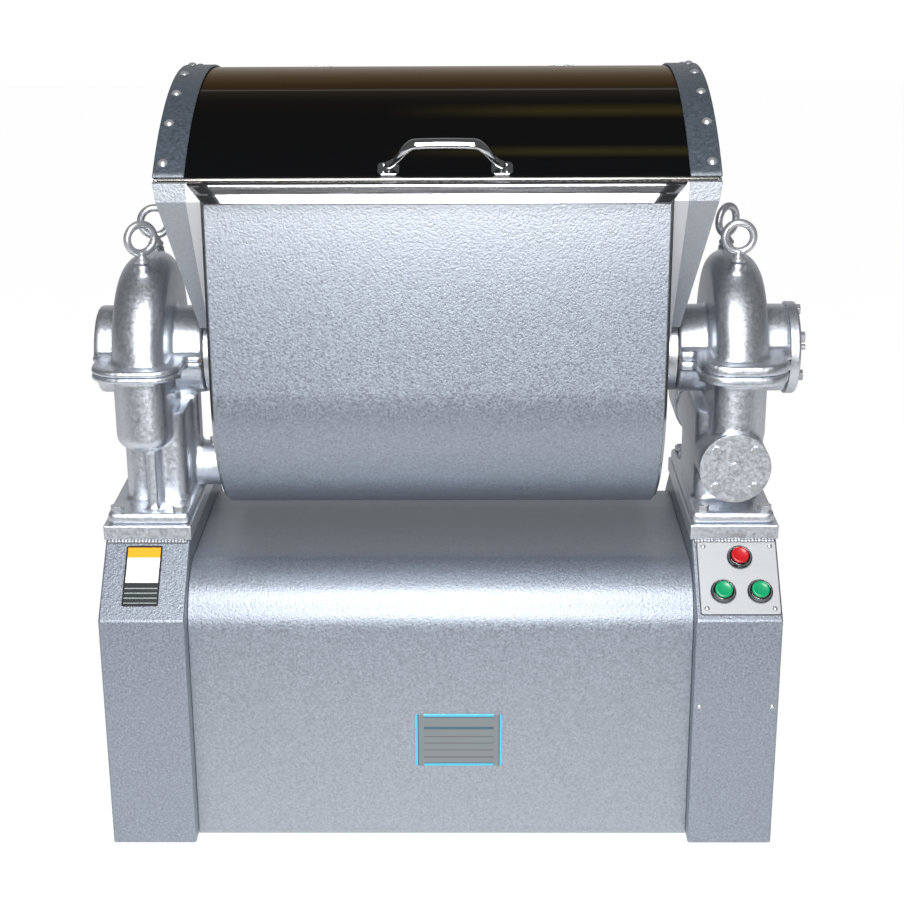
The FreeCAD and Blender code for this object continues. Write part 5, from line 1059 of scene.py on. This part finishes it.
@dataclass
class Fittings:
    """The control panel, its buttons, the label, the blank plate and the lifting eyes."""

    panel_x: Pair = (304.0, 399.0)
    panel_up: Pair = (7.0, 103.0)
    panel_thickness: float = 2.0
    gasket_line: float = 1.1
    bezel: float = 15.0
    bezel_height: float = 7.0
    bezel_body: float = 11.0
    bezel_depth: float = 28.0
    cap: float = 10.5
    cap_stand: float = 3.0
    red: Pair = (354.0, 80.0)
    green: tuple[Pair, Pair] = ((332.0, 36.0), (375.0, 36.0))
    label_x: Pair = (-374.0, -331.0)
    label_up: Pair = (19.0, 97.0)
    label_thickness: float = 0.9
    badge_at: Triple = (21.0, -178.0, 129.0)
    badge_half: Pair = (52.5, 34.5)
    badge_thickness: float = 1.0
    plug_at: Triple = (347.0, -126.45, 457.0)
    plug_radius: float = 7.05
    plug_height: float = 2.04
    eye_x: float = 350.0
    eye_y: float = 50.0
    eye_z: float = 717.0
    eye_ring: float = 17.0
    eye_rod: float = 4.5
    eye_boss: float = 688.0
    eye_turns: tuple[Triple, ...] = ((-1, -1, 35), (1, -1, 0), (-1, 1, 10), (1, 1, 45))

    def build(self, finishes: Finishes) -> None:
        """Build all fittings."""
        slope = Slope()
        self.build_panel(slope, finishes)
        self.build_buttons(slope, finishes)
        self.build_plates(slope, finishes)
        self.build_eyes(finishes)
        r, h = self.plug_radius, self.plug_height
        plug = turned([(0, 0), (r, 0), (r, h - 0.8), (r - 0.8, h), (r - 2.6, h), (r - 3.2, h - 0.9), (0, h - 0.9)],
                      np.array(self.plug_at), -Y_AXIS, 24)
        add_piece("worm_cap_plug", plug, "worm_cap", "casting_paint", finishes, finishes.by_slot["zinc_fasteners"],
                  instead=False)

    def build_panel(self, slope: Slope, finishes: Finishes) -> None:
        """Build the panel on a dark gasket that shows as a thin line round it."""
        x, up = self.panel_x, self.panel_up
        gasket = slope.plate(x, up, (0.0, 0.7), 3.5, 0.2)
        add_piece("panel_gasket", gasket, "control_panel", "rubber", finishes, finishes.dark_edge, instead=False)
        face = slope.plate(x, up, (0.5, self.panel_thickness), 2.6, 0.6, self.gasket_line)
        add_piece("panel_face", face, "control_panel", "plate_metal", finishes)

    def build_plates(self, slope: Slope, finishes: Finishes) -> None:
        """Build the label on the left slope and the blank plate on the front cover."""
        surface = slope.plate(self.label_x, self.label_up, (0.0, self.label_thickness), 2.0, 0.3)
        map_plate(add_piece("slope_label", surface, "label_plate", "label_film", finishes), X_AXIS, slope.up)
        w, h = self.badge_half
        surface = rounded_prism(rounded_loop(rectangle((-w, w), (-h, h)), 2.0), 0.0, self.badge_thickness, 0.4,
                                np.array(self.badge_at), (-Y_AXIS, X_AXIS, Z_AXIS))
        map_plate(add_piece("blank_badge", surface, "name_plate", "plate_metal", finishes, finishes.badge),
                  X_AXIS, Z_AXIS)

    def build_buttons(self, slope: Slope, finishes: Finishes) -> None:
        """Build the stepped collars and the domed caps of the three push-buttons."""
        r, h, t, depth = self.bezel, self.bezel_height, self.panel_thickness, self.bezel_depth
        collar = [(0.0, -depth), (self.bezel_body, -depth), (self.bezel_body, t), (r - 0.3, t), (r, t + 0.5),
                  (r, t + 2.4), (r - 0.5, t + 3.0), (r - 1.4, t + 3.4), (r - 2.2, t + h - 1.0), (r - 3.0, t + h),
                  (self.cap + 0.9, t + h), (self.cap + 0.5, t + h - 0.6), (self.cap + 0.4, t + 0.9), (0.0, t + 0.9)]
        collars = [turned(collar, slope.point(*spot), slope.out) for spot in (self.red, *self.green)]
        add_piece("button_collars", joined(collars), "button_bezels", "bezel_metal", finishes)
        r, top = self.cap, t + h + self.cap_stand
        low = top - self.cap_stand - 1.6
        cap = [(0.0, low), (r, low), (r, top - 1.6), (r - 0.4, top - 0.6), (r - 1.2, top - 0.05), (r - 2.4, top),
               (r - 3.6, top - 0.35), (r - 6.0, top - 0.6), (0.0, top - 0.7)]
        for name, spot, slot in (("stop", self.red, "red_plastic"), ("start", self.green[0], "green_plastic"),
                                 ("tilt", self.green[1], "green_plastic")):
            add_piece(name + "_cap", turned(cap, slope.point(*spot), slope.out), name + "_button", slot, finishes)

    def build_eyes(self, finishes: Finishes) -> None:
        """Build the four forged lifting eyes, each a ring on a flared collar."""
        low, neck = self.eye_boss, self.eye_z - self.eye_ring
        collar = [(0, low - 19), (5, low - 19), (5, low), (8.8, low), (9.2, low + 0.6), (9.2, low + 3),
                  (8.6, low + 4), (7.2, low + 5.2), (5.6, low + 8), (5.0, neck - 3), (5.4, neck), (5.0, neck + 2),
                  (0, neck + 2.4)]
        parts = []
        for side, rear, turn in self.eye_turns:
            foot = np.array([side * self.eye_x, rear * self.eye_y, 0.0])
            axis = np.array([-math.sin(math.radians(turn)), math.cos(math.radians(turn)), 0.0])
            parts += [ring(foot + Z_AXIS * self.eye_z, axis, self.eye_ring, self.eye_rod),
                      turned(collar, foot, Z_AXIS, 32)]
        add_piece("lifting_eyes", joined(parts), "eye_bolts", "zinc_fasteners", finishes)


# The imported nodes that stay


def dress_nodes(finishes: Finishes) -> None:
    """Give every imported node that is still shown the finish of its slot."""
    for name, node in sorted(frame["nodes"].items()):
        if node.hide_render:
            continue
        for index, slot in enumerate(node.material_slots):
            key = slot.material.name.split(".")[0] if slot.material else ""
            finish = finishes.satin if name == "end_arms" else finishes.by_slot.get(key)
            if finish is None:
                LOG.warning("%s has the unknown slot %s", name, key)
                continue
            node.material_slots[index].material = finish
        LOG.info("%s: dressed", name)


# Camera, lamps and surroundings


@dataclass(frozen=True)
class Lamp:
    """An area lamp, with its width, height and distances in millimetres and its power in watts."""

    name: str
    position: Triple
    size: Pair
    power: float
    aim: Triple = (0.0, 0.0, 600.0)

    def build(self) -> None:
        """Put the lamp into the scene, turned to its aim."""
        data = bpy.data.lights.new(self.name, "AREA")
        data.shape = "RECTANGLE"
        data.size, data.size_y = (side * MM for side in self.size)
        data.energy = self.power
        direction = (Vector(self.aim) - Vector(self.position)) * MM
        stand(add_object(self.name, data), self.position, direction.to_track_quat("-Z", "Y").to_matrix())


def stand(item: bpy.types.Object, position: Triple, turn: Matrix) -> None:
    """Put an object at a position in millimetres, turned by a matrix."""
    item.matrix_world = Matrix.Translation(Vector(position) * MM) @ turn.to_4x4()


def by_ray(tree: Tree, camera: float, mirror: Socket | float, light: float) -> Socket:
    """Choose a value by the ray that arrives.

    Args:
        tree: The nodes of the world or of a material.
        camera: Value for the camera's own rays.
        mirror: Value for rays that a mirror or a clear piece sends on.
        light: Value for every other ray.

    Returns:
        The chosen value's socket.
    """
    path = add_node(tree, "LightPath").outputs
    sent_on = maths(tree, "MAXIMUM", path["Is Glossy Ray"], path["Is Transmission Ray"])
    indirect = add_node(tree, "Mix", {"Factor": sent_on, "A": light, "B": mirror})
    return add_node(tree, "Mix", {"Factor": path["Is Camera Ray"], "A": indirect.outputs["Result"],
                                  "B": camera}).outputs["Result"]


@dataclass
class Studio:
    """The photograph's camera and flash in a room that is white behind the machine and dim in front of it."""

    position: Triple = (35.47, -2122.96, 1158.09)
    lens: float = 71.68
    sensor: float = 36.0
    clip_end: float = 50.0
    pitch: float = 0.328059
    yaw: float = -0.0105912
    roll: float = -0.00515012
    floor_half: float = 7.0
    floor_front: float = -0.8
    floor_grey: float = 0.9
    floor_white: float = 0.88
    floor_glow: float = 1.1
    floor_sheen: float = 0.28
    ambient: float = 0.15
    dim: float = 0.1
    sheen: float = 0.6
    rear_wall: Pair = (0.7, 0.97)
    lamps: tuple[Lamp, ...] = (
        Lamp("high_lamp", (-60.0, -1760.0, 2120.0), (1000.0, 1250.0), 54.0),
        Lamp("level_lamp", (20.0, -2600.0, 920.0), (1000.0, 420.0), 38.0))

    def build(self) -> None:
        """Set up the camera, the world, the floor and the lamps."""
        self.build_camera()
        self.build_world()
        self.build_floor()
        for lamp in self.lamps:
            lamp.build()
        bpy.context.scene.view_settings.view_transform = "Standard"

    def build_camera(self) -> None:
        """Place the camera by its yaw, then its pitch, then its roll."""
        forward = np.array([math.sin(self.yaw) * math.cos(self.pitch), math.cos(self.yaw) * math.cos(self.pitch),
                            -math.sin(self.pitch)])
        level = np.array([math.cos(self.yaw), -math.sin(self.yaw), 0.0])
        lifted = np.cross(level, forward)
        right = math.cos(self.roll) * level + math.sin(self.roll) * lifted
        up = -math.sin(self.roll) * level + math.cos(self.roll) * lifted
        data = bpy.data.cameras.new("photo_camera")
        data.lens, data.sensor_width, data.clip_end = self.lens, self.sensor, self.clip_end
        camera = add_object("photo_camera", data)
        stand(camera, self.position, Matrix((right, up, -forward)).transposed())
        bpy.context.scene.camera = camera

    def build_world(self) -> None:
        """Make the world white where the camera sees it.

        Metal sees it white behind the machine and dim in front of it and above. It lights by its ambient level.
        """
        world = bpy.data.worlds.new("white_room")
        world.use_nodes = True
        tree = world.node_tree
        split = add_node(tree, "SeparateXYZ", {0: add_node(tree, "TexCoord").outputs["Generated"]})
        behind = add_node(tree, "MapRange", {
            "Value": split.outputs["Y"], "From Min": self.rear_wall[0], "From Max": self.rear_wall[1],
            "To Min": self.dim, "To Max": self.sheen})
        feed(tree, tree.nodes["Background"], {
            "Color": (1.0, 1.0, 1.0, 1.0), "Strength": by_ray(tree, 1.0, behind.outputs[0], self.ambient)})
        bpy.context.scene.world = world

    def build_floor(self) -> None:
        """Lay a matt white floor that keeps a faint shadow."""
        half, front = self.floor_half, self.floor_front
        mesh = bpy.data.meshes.new("studio_floor")
        mesh.from_pydata([(x, y, 0) for x, y in rectangle((-half, half), (front, half))], [], [(0, 1, 2, 3)])
        floor = add_object("studio_floor", mesh)
        material, shader = new_material("studio_white")
        tree = material.node_tree
        feed(tree, shader, {"Base Color": (*[self.floor_grey] * 3, 1.0), "Roughness": 0.9})
        glow = add_node(tree, "Emission", {"Strength": self.floor_glow})
        share = by_ray(tree, self.floor_white, self.floor_sheen, 0.0)
        mix = add_node(tree, "MixShader", {0: share, 1: shader.outputs[0], 2: glow.outputs[0]})
        feed(tree, tree.nodes["Material Output"], {"Surface": mix.outputs[0]})
        mesh.materials.append(material)


def main() -> None:
    """Build the finishes, the sub-assemblies and the studio, in that order."""
    logging.basicConfig(level=logging.INFO, format="%(name)s %(message)s")
    finishes = Finishes()
    Stand().build(finishes)
    for node in CASTINGS:
        Casting(node, finishes.by_slot["casting_paint"]).build()
    Bowl().build(finishes)
    Lid().build(finishes)
    Fittings().build(finishes)
    dress_nodes(finishes)
    Studio().build()


def corners(bounds) -> list[list[float]]:
    """Give a box's two corners as plain lists."""
    return [[float(value) for value in corner] for corner in bounds]


if __name__ == "__main__":
    main()
